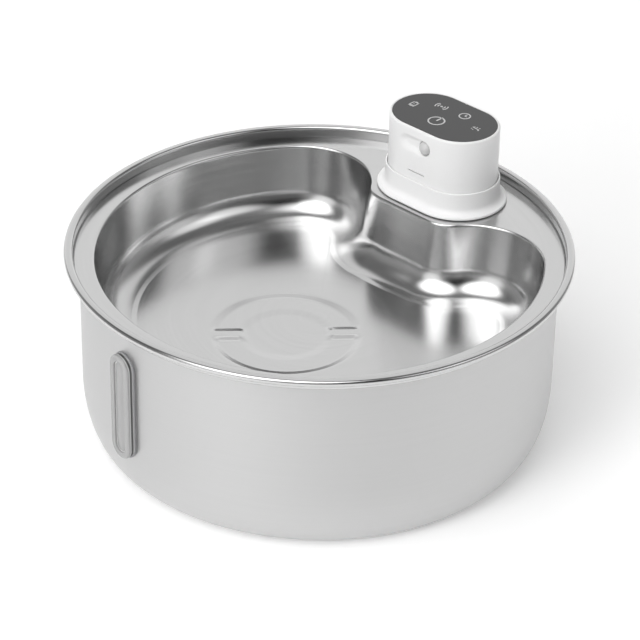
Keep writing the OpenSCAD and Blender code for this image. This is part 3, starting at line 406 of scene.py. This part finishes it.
def window_point(k, inset, out, follow=False, width=window_w, height=window_h):
    """A point of the window's outline, inset from its edge and out from the tank's axis.
    It lies in a plane, or on the round of the wall where follow is true."""
    end, ny, nz = upright[k]
    half_w = width / 2 - inset
    along = end * (height - width) / 2
    # the ring's long axis is upright: its straights run beside the Z axis
    side, rise = -nz * half_w, along + ny * half_w
    reach = math.sqrt(out * out - side * side) if follow else out
    turned = Matrix.Rotation(window_turn, 3, "Z")
    return turned @ Vector((reach, side, 0)) + Vector((0, 0, window_z + rise))


slot_reach = [(0.125,), (0.145,)]
cut_out(tank, capped(len(upright), lambda k, out: window_point(k, 0, out, False, slot_w, slot_h), slot_reach))
round_off(tank)
tank_steel = steel("tank_steel", tone=0.63, tone_change=0.008, rough=0.42, rough_change=0.03,
                   quick=900, slow=12, bump=0.02, anisotropy=0.7, polished_from=ledge_z)
hand_over(tank, "tank", "steel_tank", tank_steel, "tank")


# ---- Foot ring ------------------------------------------------------------------------------
# A flat ring of grey silicone is glued under the tank's bottom, so that it doesn't slide.
grain_spread = 0.05


def grained(name, color, rough, scale, bump, metal=0.0, distance=0.0001):
    """A moulded or cast surface with a fine grain in its roughness, tone and height."""
    material, tree, shader = blank_material(name)
    place = tree.nodes.new("ShaderNodeTexCoord").outputs["Object"]
    grain = tree.nodes.new("ShaderNodeTexNoise")
    grain.inputs["Scale"].default_value = scale
    grain.inputs["Detail"].default_value = 4
    tree.links.new(place, grain.inputs["Vector"])
    spread = math_node(tree, "MULTIPLY_ADD", grain.outputs["Fac"], 2 * grain_spread, rough - grain_spread)
    tree.links.new(spread, shader.inputs["Roughness"])
    tint = tree.nodes.new("ShaderNodeMix")
    tint.data_type = "RGBA"
    tint.inputs["A"].default_value = (*[part * 0.97 for part in color], 1)
    tint.inputs["B"].default_value = (*[min(1, part * 1.02) for part in color], 1)
    tree.links.new(grain.outputs["Fac"], tint.inputs["Factor"])
    tree.links.new(tint.outputs["Result"], shader.inputs["Base Color"])
    lift = tree.nodes.new("ShaderNodeBump")
    lift.inputs["Strength"].default_value = bump
    lift.inputs["Distance"].default_value = distance
    tree.links.new(grain.outputs["Fac"], lift.inputs["Height"])
    tree.links.new(lift.outputs["Normal"], shader.inputs["Normal"])
    shader.inputs["Metallic"].default_value = metal
    return material


def dress(material, *nodes):
    """Gives CAD nodes that stay a material."""
    for name in nodes:
        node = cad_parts[name]
        if not node.material_slots:
            node.data.materials.append(material)
        for place in node.material_slots:
            place.link = "OBJECT"
            place.material = material


silicone = grained("grey_silicone", (0.3, 0.3, 0.31), 0.6, 900, 0.2)
dress(silicone, "foot_ring")


# ---- Level window ---------------------------------------------------------------------------
# A clear moulded window stands out of the wall over the slot. It has rounded edges and a shallow
# recess with a groove round it. A frame inside the tank clamps it on its gasket with two screws.
window_face = tank_r + 0.0042
window_back = tank_r + 0.0007
window_side = 0.1389
edge_round = 0.0009
recess_at = 0.0038
recess_deep = 0.0007
groove_deep = 0.0012
stem_inset = (window_w - slot_w) / 2 + 0.0003
stem_end = tank_r - 0.003
window_steps = (
    [(stem_inset, stem_end), (stem_inset, window_back - 0.0001, True),
     (stem_inset - 0.0001, window_back, True), (0, window_back, True), (0, window_side),
     (0, window_face - edge_round)]
    + [(edge_round - edge_round * math.cos(math.radians(t)),
        window_face - edge_round + edge_round * math.sin(math.radians(t)))
       for t in (15, 30, 45, 60, 75, 90)]
    + [(edge_round + 0.0002, window_face), (recess_at - 0.0002, window_face),
       (recess_at, window_face - 0.0001), (recess_at + 0.0002, window_face - groove_deep),
       (recess_at + 0.0007, window_face - groove_deep),
       (recess_at + 0.0009, window_face - recess_deep - 0.0001),
       (recess_at + 0.0011, window_face - recess_deep)])
window_mesh = bmesh.new()
window_first, window_last = stepped_ring(window_mesh, len(upright), window_point, window_steps)
bmesh.ops.edgeloop_fill(window_mesh, edges=window_last)
back = bmesh.ops.edgeloop_fill(window_mesh, edges=window_first)
bmesh.ops.triangulate(window_mesh, faces=back["faces"])
bmesh.ops.recalc_face_normals(window_mesh, faces=window_mesh.faces)
window = new_piece("level_window", window_mesh)
round_off(window, 50)
window_clear, window_tree, window_shader = blank_material("window_clear")
window_split = window_tree.nodes.new("ShaderNodeSeparateXYZ")
window_tree.links.new(window_tree.nodes.new("ShaderNodeTexCoord").outputs["Object"], window_split.inputs[0])
window_out = math_node(window_tree, "SQRT", math_node(
    window_tree, "ADD", math_node(window_tree, "POWER", window_split.outputs["X"], 2),
    math_node(window_tree, "POWER", window_split.outputs["Y"], 2)))
window_depth = math_node(window_tree, "DIVIDE", math_node(window_tree, "SUBTRACT", window_out, window_back),
                         window_face - window_back)
# The window's colour is painted by height above the wall. The dark band low on its side wall is painted
# shade. The light bands at the side wall's foot, along its upper edge and in the groove are painted
# highlights. The face is a flat grey like the steel behind it.
window_painted_light_tones = [(0.05, 0.8), (0.28, 0.1), (0.52, 0.1), (0.62, 0.85), (0.72, 0.85), (0.78, 0.46)]
window_painted_light = ramp_node(window_tree, window_depth, window_painted_light_tones)
window_tree.links.new(window_painted_light, window_shader.inputs["Base Color"])
window_shader.inputs["Transmission Weight"].default_value = 0.35
window_shader.inputs["Roughness"].default_value = 0.04
window_shader.inputs["IOR"].default_value = 1.5
hand_over(window, "tank", "window_clear", window_clear, "window_lens")
dress(silicone, "window_gasket")
frame_plastic = grained("frame_plastic", (0.8, 0.8, 0.8), 0.45, 1200, 0.1)
screw_steel = grained("screw_steel", (0.62, 0.61, 0.6), 0.28, 2500, 0.1, metal=1.0)
dress(frame_plastic, "window_frame")
dress(screw_steel, "window_screws")


# ---- Tray -----------------------------------------------------------------------------------
# The drinking tray is drawn from one sheet: a flat deck that hangs on the tank's ledge, and a
# kidney-shaped basin with a rounded mouth, a leaning wall and a wide fillet down to a floor
# with a ring of two arcs pressed into it. The deck is cut out behind the basin for the head.
deck_r = tray_high.x
mouth_r = 0.129
lobe_r = 0.326 * mouth_r
lobe_dir = 39.5
lobe_at = ((mouth_r - lobe_r) * math.cos(math.radians(lobe_dir)),
           (mouth_r - lobe_r) * math.sin(math.radians(lobe_dir)))
saddle_y = 0.0725
saddle_half = 0.0185
saddle_swell = 0.0008
swell_from = 0.006
nose_y = (((lobe_at[0] - saddle_half) ** 2 + lobe_at[1] ** 2 - (lobe_r - saddle_y) ** 2)
          / (2 * (lobe_at[1] + lobe_r - saddle_y)))
nose_r = nose_y - saddle_y
nose_dir = math.degrees(math.atan2(nose_y - lobe_at[1], saddle_half - lobe_at[0]))
bowl_steps, lobe_steps, nose_steps, saddle_steps = 96, 40, 24, 12
half_steps = bowl_steps + lobe_steps + nose_steps + saddle_steps
tray_count = 2 * half_steps


def kidney(k, inset):
    """A point of the basin's outline, inset from the mouth. Its arcs keep their centres."""
    if k > half_steps:
        x, y = kidney(tray_count - k, inset)
        return -x, y
    if k <= bowl_steps:
        return arc((0, 0), mouth_r - inset, -90, lobe_dir, bowl_steps)[k]
    if k <= bowl_steps + lobe_steps:
        return arc(lobe_at, lobe_r - inset, lobe_dir, nose_dir, lobe_steps)[k - bowl_steps]
    if k <= half_steps - saddle_steps:
        nose = arc((saddle_half, nose_y), nose_r + inset, nose_dir - 180, -90, nose_steps)
        return nose[k - bowl_steps - lobe_steps]
    share = (half_steps - k) / saddle_steps
    swell = saddle_swell * min(1, inset / swell_from) * (1 - share * share) ** 2
    return saddle_half * share, saddle_y - inset - swell


tray_points = {}


def tray_point(k, kind, size, z):
    """A point of one of the tray's rings: on the deck, on the kidney's outline, or on a circle round the
    middle of the stamped ring."""
    if (k, kind, size) not in tray_points:
        x, y = kidney(k, size if kind == "kidney" else 0)
        if kind == "deck":
            reach = deck_r / math.hypot(x, y)
            x, y = x + (x * reach - x) * size, y + (y * reach - y) * size
        if kind == "stamp":
            turn = math.atan2(y + stamp_y, x)
            x, y = size * math.cos(turn), size * math.sin(turn) - stamp_y
        tray_points[k, kind, size] = x, y
    x, y = tray_points[k, kind, size]
    return Vector((x, y, z - (stamp_drop(x, y) if kind == "stamp" else 0)))


edge_r = 0.0015
basin_depth = 0.0415
basin_lean = 0.0035
basin_fillet = 0.017
basin_z = deck_z - basin_depth
fillet_end, fillet_steps = 262, 20
lean_turn = math.degrees(math.atan2(basin_lean, basin_depth - edge_r - basin_fillet))
floor_at = edge_r + basin_lean + basin_fillet
floor_step = 0.0006
stamp_y = 0.0265
stamp_out = 0.0435
stamp_slope = 0.0050
band_in = 0.0280
disc_r = 0.0210
band_deep = 0.0010
disc_deep = 0.0014
gap_half = 0.0026
gap_slope = 0.0050
stamp_turn = math.radians(47)


slope_pace = 1.15
slope_straight = 0.7
slope_end = 2.17


def eased(share):
    """A straight slope that starts in a crisp bend and ends softly."""
    share = min(1, max(0, share))
    return slope_pace * share if share < slope_straight else 1 - (1 - share) ** 2 * slope_end


def stamp_drop(x, y):
    """How far the stamped ring lies below the floor at a point."""
    reach = math.hypot(x, y + stamp_y)
    beside = abs((y + stamp_y) * math.cos(stamp_turn) - x * math.sin(stamp_turn))
    arcs = band_deep * eased((stamp_out - reach) / stamp_slope) * eased((beside - gap_half) / gap_slope)
    inward = min(1, max(0, (band_in - reach) / (band_in - disc_r)))
    inward = inward * inward * (3 - 2 * inward)
    return arcs + (disc_deep - arcs) * inward


floor_z = basin_z - floor_step
stamp_step = 0.0005
tray_steps = (
    [("deck", 1, deck_z), ("deck", 0.9, deck_z), ("deck", 0.04, deck_z)]
    + [("kidney", inset, z) for inset, z in arc((0, deck_z - edge_r), edge_r, 90, lean_turn, 8)]
    + [("kidney", edge_r + 0.0005 * basin_lean / basin_depth, deck_z - edge_r - 0.0005)]
    + [("kidney", inset, z)
       for inset, z in arc((floor_at, basin_z + basin_fillet), basin_fillet, 180 + lean_turn, fillet_end,
                             fillet_steps)]
    + [("kidney", floor_at - 0.0008, basin_z), ("kidney", floor_at, basin_z - 0.00005),
       ("kidney", floor_at + 0.0021, floor_z + 0.00003), ("kidney", floor_at + 0.0025, floor_z),
       ("kidney", floor_at + 0.0030, floor_z)]
    + [("stamp", stamp_out + 0.0015, floor_z)]
    + [("stamp", stamp_out - stamp_step * k, floor_z)
       for k in range(round((stamp_out - disc_r) / stamp_step) + 1)]
    + [("stamp", disc_r - 0.001, floor_z), ("stamp", 0.003, floor_z)])
tray_mesh = bmesh.new()
tray_last = stepped_ring(tray_mesh, tray_count, tray_point, tray_steps)[1]
bmesh.ops.edgeloop_fill(tray_mesh, edges=tray_last)
bmesh.ops.recalc_face_normals(tray_mesh, faces=tray_mesh.faces)
tray = new_piece("drinking_tray", tray_mesh)
if sum(p.normal.z for p in tray.data.polygons if abs(p.center.z - deck_z) < 1e-6) < 0:
    tray.data.flip_normals()
thicken(tray, sheet_wall, -1)

collar_low, collar_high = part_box("collar")
shell_low, shell_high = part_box("head_shell")
head_y = (shell_low.y + shell_high.y) / 2
head_r = (shell_high.y - shell_low.y) / 2
half = (shell_high.x - shell_low.x) / 2 - head_r
cutout_r = 0.0276


head_end_steps, head_side_steps = 64, 12
plain_race = long_ring(head_end_steps, (head_side_steps, head_side_steps), half)


def race_point(k, radius, z, ring=plain_race):
    """A point on a round-ended ring about the head's upright axis."""
    middle, nx, ny = ring[k]
    return Vector((middle + radius * nx, head_y + radius * ny, z))


hole_reach = [(cutout_r, deck_z - 0.01), (cutout_r, deck_z + 0.01)]
cut_out(tray, capped(len(plain_race), race_point, hole_reach))
round_off(tray, 40)
tray_steel = steel("tray_steel", tone=0.66, tone_change=0.015, rough=0.2, rough_change=0.03,
                   quick=500, slow=10, bump=0.02, anisotropy=0.0)
hand_over(tray, "tray_unit", "steel_tray", tray_steel, "tray")


# ---- Collar ---------------------------------------------------------------------------------
# A white moulded collar stands on the deck around the head: a flange with a rounded edge flares
# up into a thin wall with a rounded top. A ring below the deck clamps it with four screws.
skirt_in = head_r + 0.0004
skirt_out = skirt_in + 0.0021
collar_out = skirt_in + 0.0011
flange_r = (collar_high.y - collar_low.y) / 2
flange_z = deck_z + 0.0005
flange_t = 0.0017
flange_low_r = 0.0005
flange_top_r = 0.0007
flare_r = 0.0036
lip_r = 0.00055
clamp_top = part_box("collar_clamp")[0].z + 0.003
collar_top = collar_high.z
collar_steps = (
    [(skirt_out, clamp_top), (skirt_out, flange_z)]
    + arc((flange_r - flange_low_r, flange_z + flange_low_r), flange_low_r, -90, 0, 4)
    + arc((flange_r - flange_top_r, flange_z + flange_t - flange_top_r), flange_top_r, 0, 90, 5)
    + arc((collar_out + flare_r, flange_z + flange_t + flare_r), flare_r, 270, 180, 10)
    + arc((skirt_in + lip_r, collar_top - lip_r), lip_r, 0, 180, 12)
    + [(skirt_in, collar_top - lip_r - 0.001), (skirt_in, clamp_top)])


def closed_race(steps, ring=plain_race):
    """A bmesh whose closed profile runs round the head."""
    mesh = bmesh.new()
    stepped_ring(mesh, len(ring), lambda k, r, z: race_point(k, r, z, ring), steps + [steps[0]])
    bmesh.ops.remove_doubles(mesh, verts=mesh.verts, dist=1e-7)
    bmesh.ops.recalc_face_normals(mesh, faces=mesh.faces)
    return mesh


collar = new_piece("collar_ring", closed_race(collar_steps))
round_off(collar, 40)
white_plastic = grained("white_plastic", (0.88, 0.88, 0.88), 0.38, 1500, 0.06)
hand_over(collar, "tray_unit", "white_plastic", white_plastic, "collar")
dress(frame_plastic, "collar_clamp")
dress(screw_steel, "collar_screws")


# ---- Head shell -----------------------------------------------------------------------------
# The white shell of the head is moulded in one with a ledge for the touch panel. Its front has a
# shallow scoop that fades to the left and holds the sensor's dome, and a thin slit for the water.
# Its back has a recess for the charging socket, and its ends are screwed to the dry case.
shell_wall = 0.0018
top_z = shell_high.z
shell_z = shell_low.z
panel_low, panel_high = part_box("touch_panel")
panel_r = (panel_high.y - panel_low.y) / 2
ledge_r = head_r - 0.0044
ledge_top = panel_low.z
ledge_low = ledge_top - 0.0016
shell_edge = 0.001
scoop_z = rim_z + 0.0316
scoop_half = 0.0047
scoop_deep = 0.0014
scoop_left = -0.0130
scoop_reach = 0.009
scoop_soft = 0.0012
scoop_fade = 0.0042
scoop_sill = 0.0016
front_skin = 0.0012
dome_x = 0.0050
fine_steps = [scoop_z - 0.0085 + 0.0005 * k for k in range(34)]
shell_steps = (
    [(head_r - shell_wall, shell_z), (head_r - 0.0002, shell_z), (head_r, shell_z + 0.0002)]
    + [(head_r, z) for z in fine_steps if z < top_z - shell_edge - 0.0003]
    + arc((head_r - shell_edge, top_z - shell_edge), shell_edge, 0, 90, 8)
    + [(panel_r + 0.0002, top_z), (panel_r + 0.0001, top_z - 0.0001), (panel_r + 0.0001, ledge_top),
       (ledge_r, ledge_top), (ledge_r, ledge_low), (head_r - shell_wall, ledge_low)])
shell_race = long_ring(head_end_steps, (head_side_steps, 72), half)
shell_mesh = closed_race(shell_steps, shell_race)
for vert in shell_mesh.verts:
    x, z = vert.co.x, vert.co.z - scoop_z
    outside = head_y - vert.co.y > head_r - front_skin - max(0, abs(x) - half)
    if outside and abs(z) < scoop_reach:
        nearest = min(dome_x, max(scoop_left + scoop_half, x))
        inside = scoop_half - math.hypot(x - nearest, z)
        leftward = min(1, max(0, (dome_x - x) / (dome_x - scoop_left)))
        soft = scoop_soft + scoop_fade * leftward + (scoop_sill if z < 0 else 0)
        share = min(1, max(0, (inside + 0.25 * soft) / soft))
        vert.co.y += scoop_deep * share * share * (3 - 2 * share)
shell = new_piece("head_casing", shell_mesh)

slit_z = rim_z + 0.014
slit_half = 0.006
slit_high = 0.0008
front_y = head_y - head_r


def bar(low, high, corner=0.0):
    """A bmesh of a bar between two corners, its edges rounded."""
    mesh = bmesh.new()
    size = Vector(high) - Vector(low)
    bmesh.ops.create_cube(mesh, size=1, matrix=Matrix.Translation((Vector(low) + Vector(high)) / 2)
                          @ Matrix.Diagonal((*size, 1)))
    if corner:
        bmesh.ops.bevel(mesh, geom=mesh.edges[:], offset=corner, offset_type="OFFSET", segments=3,
                        profile=0.5, affect="EDGES", material=-1)
    return mesh


def rod(center, radius, length, axis, steps=48):
    """A bmesh of a rod about a centre, along an axis."""
    mesh = bmesh.new()
    turned = Vector((0, 0, 1)).rotation_difference(Vector(axis)).to_matrix().to_4x4()
    bmesh.ops.create_cone(mesh, cap_ends=True, segments=steps, radius1=radius, radius2=radius, depth=length,
                          matrix=Matrix.Translation(center) @ turned)
    return mesh


dome_r = 0.0045
dome_fit = 0.00005
dome_seat = front_y + scoop_deep + 0.0024
post_x = dome_r + 0.0023
post_r, post_long = 0.0012, 0.0026
cover_low, cover_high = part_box("port_cover")
hinge_in = 0.0008
cover_axis = Vector((0, cover_low.y + hinge_in, cover_low.z + hinge_in))
cover_half = 0.0075
cover_fit = 0.0003
port_z = rim_z + 0.023
port_half_w, port_half_h = 0.00445, 0.00165
pin_hole_r = 0.00075
screw_recess_r = 0.0019
port_in = head_y + 0.0184
board_low, board_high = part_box("charge_board")
rail_w = 0.0016
join_on(shell, bar((scoop_left, head_y - head_r + shell_wall - 0.0001, scoop_z - scoop_half - 0.001),
                   (dome_x + dome_r + 0.002, dome_seat, scoop_z + scoop_half + 0.001)))
join_on(shell, bar((-cover_half - 0.003, port_in, port_z - 0.0065),
                   (cover_half + 0.003, head_y + head_r - shell_wall + 0.0001, port_z + 0.0065)))
for side in (-1, 1):
    post_at = (dome_x + side * post_x, dome_seat + post_r, scoop_z)
    join_on(shell, rod(post_at, post_r, post_long, (0, 1, 0), 24))
    rail_x = sorted((side * board_high.x, side * (board_high.x - rail_w)))
    join_on(shell, bar((rail_x[0], port_in - 0.006, board_low.z - rail_w),
                       (rail_x[1], port_in + 0.0001, board_low.z)))
cut_out(shell, bar((-slit_half, front_y - 0.002, slit_z - slit_high / 2),
                   (slit_half, front_y + 0.004, slit_z + slit_high / 2)))
cut_out(shell, rod((dome_x, front_y, scoop_z), dome_r + dome_fit, 0.012, (0, 1, 0)))
cut_out(shell, bar((-cover_half - cover_fit, cover_low.y - cover_fit, cover_low.z - cover_fit),
                   (cover_half + cover_fit, shell_high.y + 0.002, cover_high.z + cover_fit)))
cut_out(shell, bar((-port_half_w, port_in - 0.001, port_z - port_half_h),
                   (port_half_w, shell_high.y, port_z + port_half_h)))
cut_out(shell, rod(cover_axis, pin_hole_r, 0.019, (1, 0, 0), 24))
screw_low, screw_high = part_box("case_screws")
screw_z = (screw_low.z + screw_high.z) / 2
for side in (-1, 1):
    cut_out(shell, rod((side * (half + head_r), head_y, screw_z), screw_recess_r, 0.006, (1, 0, 0)))
round_off(shell, 32)
hand_over(shell, "head", "white_plastic", white_plastic, "head_shell")


# ---- Touch panel ----------------------------------------------------------------------------
# A dark panel lies flush in the shell's top. Five symbols are printed on it in light grey:
# battery, sensor, power, timer and pump. A small notch in its rear edge lets it be lifted out.
panel_z = top_z - 0.00005
panel_edge = 0.0003
panel_steps = (
    [(panel_r, panel_low.z), (panel_r, panel_z - panel_edge)]
    + arc((panel_r - panel_edge, panel_z - panel_edge), panel_edge, 15, 90, 5)
    + [(panel_r - 0.0006, panel_z), (panel_r - 0.003, panel_z)])
panel_mesh = capped(len(plain_race), race_point, panel_steps)
bmesh.ops.recalc_face_normals(panel_mesh, faces=panel_mesh.faces)
panel = new_piece("panel_face", panel_mesh)
cut_out(panel, rod((-0.0024, head_y + panel_r + 0.0002, top_z), 0.0009, 0.002, (0, 0, 1), 24))
round_off(panel)
panel_dark = grained("panel_dark", (0.036, 0.036, 0.037), 0.3, 2200, 0.03)
hand_over(panel, "head", "panel_dark", panel_dark, "touch_panel")

print_z = top_z - 0.00002
print_deep = 0.00003
bold_w, line_w, thin_w, fine_w = 0.0010, 0.0009, 0.0008, 0.0007


def printed_arc(mesh, center, radius, start, end, width):
    """A printed arc: a short line across the stroke is spun round its centre."""
    turn = math.radians(start)
    ends = [Vector((center[0] + r * math.cos(turn), head_y + center[1] + r * math.sin(turn), print_z))
            for r in (radius - width / 2, radius + width / 2)]
    verts = [mesh.verts.new(end_point) for end_point in ends]
    edge = mesh.edges.new(verts)
    steps = max(4, round(abs(end - start) / 8))
    bmesh.ops.spin(mesh, geom=verts + [edge], cent=(center[0], head_y + center[1], print_z), axis=(0, 0, 1),
                   angle=math.radians(end - start), steps=steps, use_merge=abs(end - start) >= 360)


def printed_line(mesh, start, end, width):
    """A printed line: a short line across the stroke is drawn along it."""
    way = Vector((end[0] - start[0], end[1] - start[1], 0))
    across = way.normalized().cross(Vector((0, 0, 1))) * width / 2
    base = Vector((start[0], head_y + start[1], print_z))
    verts = [mesh.verts.new(base + across), mesh.verts.new(base - across)]
    edge = mesh.edges.new(verts)
    grown = bmesh.ops.extrude_edge_only(mesh, edges=[edge])["geom"]
    bmesh.ops.translate(mesh, verts=[part for part in grown if isinstance(part, bmesh.types.BMVert)], vec=way)


def at_mm(*places):
    """Places given in millimetres from the panel's middle."""
    return [(x / 1000, y / 1000) for x, y in places]


prints = bmesh.new()
power, timer, sensor, cell, drop = at_mm((-0.5, -6.8), (7.2, 9.4), (-10.4, 8.8), (-24, -0.5), (22, 1.9))
printed_arc(prints, power, 0.0048, 0, 360, line_w)
printed_line(prints, power, (power[0], power[1] + 0.0056), bold_w)
printed_arc(prints, timer, 0.0033, 0, 360, thin_w)
printed_line(prints, timer, (timer[0], timer[1] + 0.0022), fine_w)
printed_line(prints, timer, (timer[0] + 0.0016, timer[1]), fine_w)
for ring_r in (0.0022, 0.0039):
    for side in (0, 180):
        printed_arc(prints, sensor, ring_r, side - 40, side + 40, fine_w)
printed_arc(prints, sensor, 0.0004, 0, 360, thin_w)
cell_strokes = (
    ((-1.8, -2.8), (-1.8, 2.3)), ((1.8, -2.8), (1.8, 2.3)), ((-2.1, -2.6), (2.1, -2.6)),
    ((-1.5, -1.7), (1.5, -1.7)), ((-2.1, 2.3), (2.1, 2.3)), ((-0.8, 3.0), (0.8, 3.0)),
    ((-0.4, 0.2), (0.4, 0.2)))
drop_strokes = (
    ((-2.8, 0.9), (2.2, 0.3)), ((2.2, 0.4), (2.5, -1.0)), ((1.1, 2.1), (1.9, 2.1)),
    ((-2.4, -0.9), (-1.8, -1.1)), ((-1.0, -1.5), (-0.4, -1.7)), ((-0.6, 1.8), (-0.2, 2.5)),
    ((-2.2, 2.0), (-1.8, 1.6)))
for middle, strokes in ((cell, cell_strokes), (drop, drop_strokes)):
    for stroke in strokes:
        start, end = at_mm(*stroke)
        printed_line(prints, (middle[0] + start[0], middle[1] + start[1]),
                     (middle[0] + end[0], middle[1] + end[1]), fine_w)
for face in prints.faces:
    face.normal_update()
    if face.normal.z < 0:
        face.normal_flip()
symbols = new_piece("panel_symbols", prints)
thicken(symbols, print_deep, -1)
symbol_ink = grained("symbol_ink", (0.6, 0.6, 0.6), 0.5, 1800, 0.02)
hand_over(symbols, "head", "panel_dark", symbol_ink)


# ---- Sensor ---------------------------------------------------------------------------------
# A frosted dome sits in the scoop and covers the infrared sensor, which is soldered to its own
# small board behind the shell's front.
dome_proud = 0.0016
dome_lip = 0.0009
dome_wall = 0.001
dome_mid = dome_r - dome_proud
dome_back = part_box("sensor_lens")[1].y - front_y
dome_line = (
    [(x, dome_mid - y) for x, y in arc((0, 0), dome_r, 90, 0, 12)]
    + [(dome_r, dome_back - dome_lip), (dome_r + dome_lip, dome_back - dome_lip),
       (dome_r + dome_lip, dome_back), (dome_r - dome_wall, dome_back)]
    + [(x, dome_mid - y) for x, y in arc((0, 0), dome_r - dome_wall, 0, 90, 8)])
dome_mesh = spun(dome_line, 64)
bmesh.ops.rotate(dome_mesh, verts=dome_mesh.verts, cent=(0, 0, 0),
                 matrix=Matrix.Rotation(math.radians(-90), 3, "X"))
bmesh.ops.translate(dome_mesh, verts=dome_mesh.verts, vec=(dome_x, front_y, scoop_z))
bmesh.ops.recalc_face_normals(dome_mesh, faces=dome_mesh.faces)
dome = new_piece("sensor_dome", dome_mesh)
round_off(dome, 40)
dome_frosted, _, dome_shader = blank_material("dome_frosted")
dome_shader.inputs["Base Color"].default_value = (0.85, 0.85, 0.85, 1)
dome_shader.inputs["Transmission Weight"].default_value = 0.35
dome_shader.inputs["Roughness"].default_value = 0.12
dome_shader.inputs["IOR"].default_value = 1.49
hand_over(dome, "head", "lens_clear", dome_frosted, "sensor_lens")
can_metal = grained("can_metal", (0.6, 0.6, 0.61), 0.3, 2000, 0.1, metal=1.0)
board_green = grained("board_green", (0.03, 0.16, 0.07), 0.35, 1400, 0.1)
dress(can_metal, "sensor_can", "cell_links")
dress(board_green, "sensor_board", "touch_board", "charge_board", "power_board")
dress(grained("pad_brass", (0.7, 0.52, 0.22), 0.3, 1500, 0.1, metal=1.0), "touch_pads")
dress(screw_steel, "board_screws")


# ---- Charging socket ------------------------------------------------------------------------
# The charging socket stands in a recess in the shell's back, behind a soft white cover that
# hinges on two moulded pins at its lower edge and has a lip for a fingernail.
cover_t = 0.0016
cover = new_piece("socket_cover", bar((-cover_half, cover_low.y, cover_low.z),
                                      (cover_half, cover_low.y + cover_t, cover_high.z), 0.0004))
lip_half = 0.004
lip_z = cover_high.z - 0.0024
lip_mesh = bar((-lip_half, cover_low.y + 0.001, lip_z), (lip_half, cover_high.y, lip_z + 0.001), 0.0003)
pins_mesh = rod(cover_axis, 0.0007, 0.018, (1, 0, 0), 32)
for extra in (lip_mesh, pins_mesh):
    join_on(cover, extra)
round_off(cover)
cover_rubber = grained("cover_rubber", (0.8, 0.8, 0.8), 0.55, 1300, 0.12)
hand_over(cover, "port_cover", "cover_rubber", cover_rubber, "port_cover")
dress(grained("socket_metal", (0.66, 0.66, 0.67), 0.25, 2200, 0.08, metal=1.0), "charge_socket")


# ---- Dry case and what it holds -------------------------------------------------------------
# The white case below the head keeps battery, board and motor dry: a round-ended cup that plugs
# into the shell on a rubber ring. The riser duct runs up inside its front to the nozzle.
def merged(node, name, slot, material, body="head"):
    """A copy of a CAD node with its loose triangles joined. Round faces are shaded smooth, flat ones flat."""
    mesh = bmesh.new()
    mesh.from_mesh(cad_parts[node].data)
    bmesh.ops.remove_doubles(mesh, verts=mesh.verts, dist=1e-6)
    piece = new_piece(name, mesh)
    round_off(piece, 30)
    flats = piece.modifiers.new("flats", "WEIGHTED_NORMAL")
    flats.mode = "FACE_AREA"
    flats.weight = 100
    flats.keep_sharp = True
    settle(piece)
    hand_over(piece, body, slot, material, node)


merged("stem_case", "dry_case", "white_plastic", white_plastic)
seal_black = grained("seal_black", (0.04, 0.04, 0.04), 0.5, 1500, 0.1)
black_plastic = grained("black_plastic", (0.045, 0.045, 0.047), 0.5, 1400, 0.12)
dress(seal_black, "case_seal", "pump_seal")
dress(screw_steel, "case_screws", "pump_screws")
dress(frame_plastic, "outlet_nozzle", "riser_duct")
dress(black_plastic, "cell_holder", "cell_cap")
dress(grained("cell_wrap", (0.05, 0.12, 0.32), 0.3, 700, 0.03), "battery_cells")
dress(grained("lead_red", (0.5, 0.04, 0.03), 0.4, 900, 0.05), "motor_lead")
dress(grained("core_steel", (0.3, 0.3, 0.32), 0.4, 1800, 0.2, metal=1.0), "stator_core")
dress(grained("coil_copper", (0.65, 0.3, 0.14), 0.3, 3000, 0.5, metal=1.0), "stator_coils")


# ---- Pump -----------------------------------------------------------------------------------
# The pump's housing is screwed under the case. Its impeller turns on a ceramic shaft between two
# bushes, driven through the case's floor by the coils around the magnet.
merged("pump_housing", "pump_body", "frame_plastic", frame_plastic)
rotor_white = grained("rotor_white", (0.82, 0.82, 0.82), 0.3, 1200, 0.06)
merged("impeller", "pump_wheel", "rotor_white", rotor_white, "impeller")
dress(grained("shaft_ceramic", (0.85, 0.84, 0.8), 0.15, 2500, 0.03), "rotor_shaft")
dress(grained("bush_grey", (0.12, 0.12, 0.12), 0.4, 2000, 0.1), "shaft_bushes")
dress(grained("magnet_dark", (0.1, 0.1, 0.105), 0.55, 1500, 0.25), "rotor_magnet")


# ---- Filter ---------------------------------------------------------------------------------
# A clear cup locks onto the pump's skirt with a bayonet turn of 30 degrees. It holds a disc of
# carbon in cloth and a ring of foam, and takes its water in through slots round its foot.
cup_clear, _, cup_shader = blank_material("cup_clear")
cup_shader.inputs["Base Color"].default_value = (0.78, 0.82, 0.86, 1)
cup_shader.inputs["Transmission Weight"].default_value = 0.6
cup_shader.inputs["Roughness"].default_value = 0.18
merged("filter_cup", "cup_shell", "cup_clear", cup_clear, "filter")
media_black = grained("media_black", (0.05, 0.05, 0.05), 0.9, 800, 0.9, distance=0.0004)
merged("filter_media", "carbon_disc", "media_black", media_black, "filter")
sponge_cream = grained("sponge_cream", (0.75, 0.7, 0.58), 0.95, 600, 1.0, distance=0.0006)
merged("filter_sponge", "foam_ring", "sponge_cream", sponge_cream, "filter")
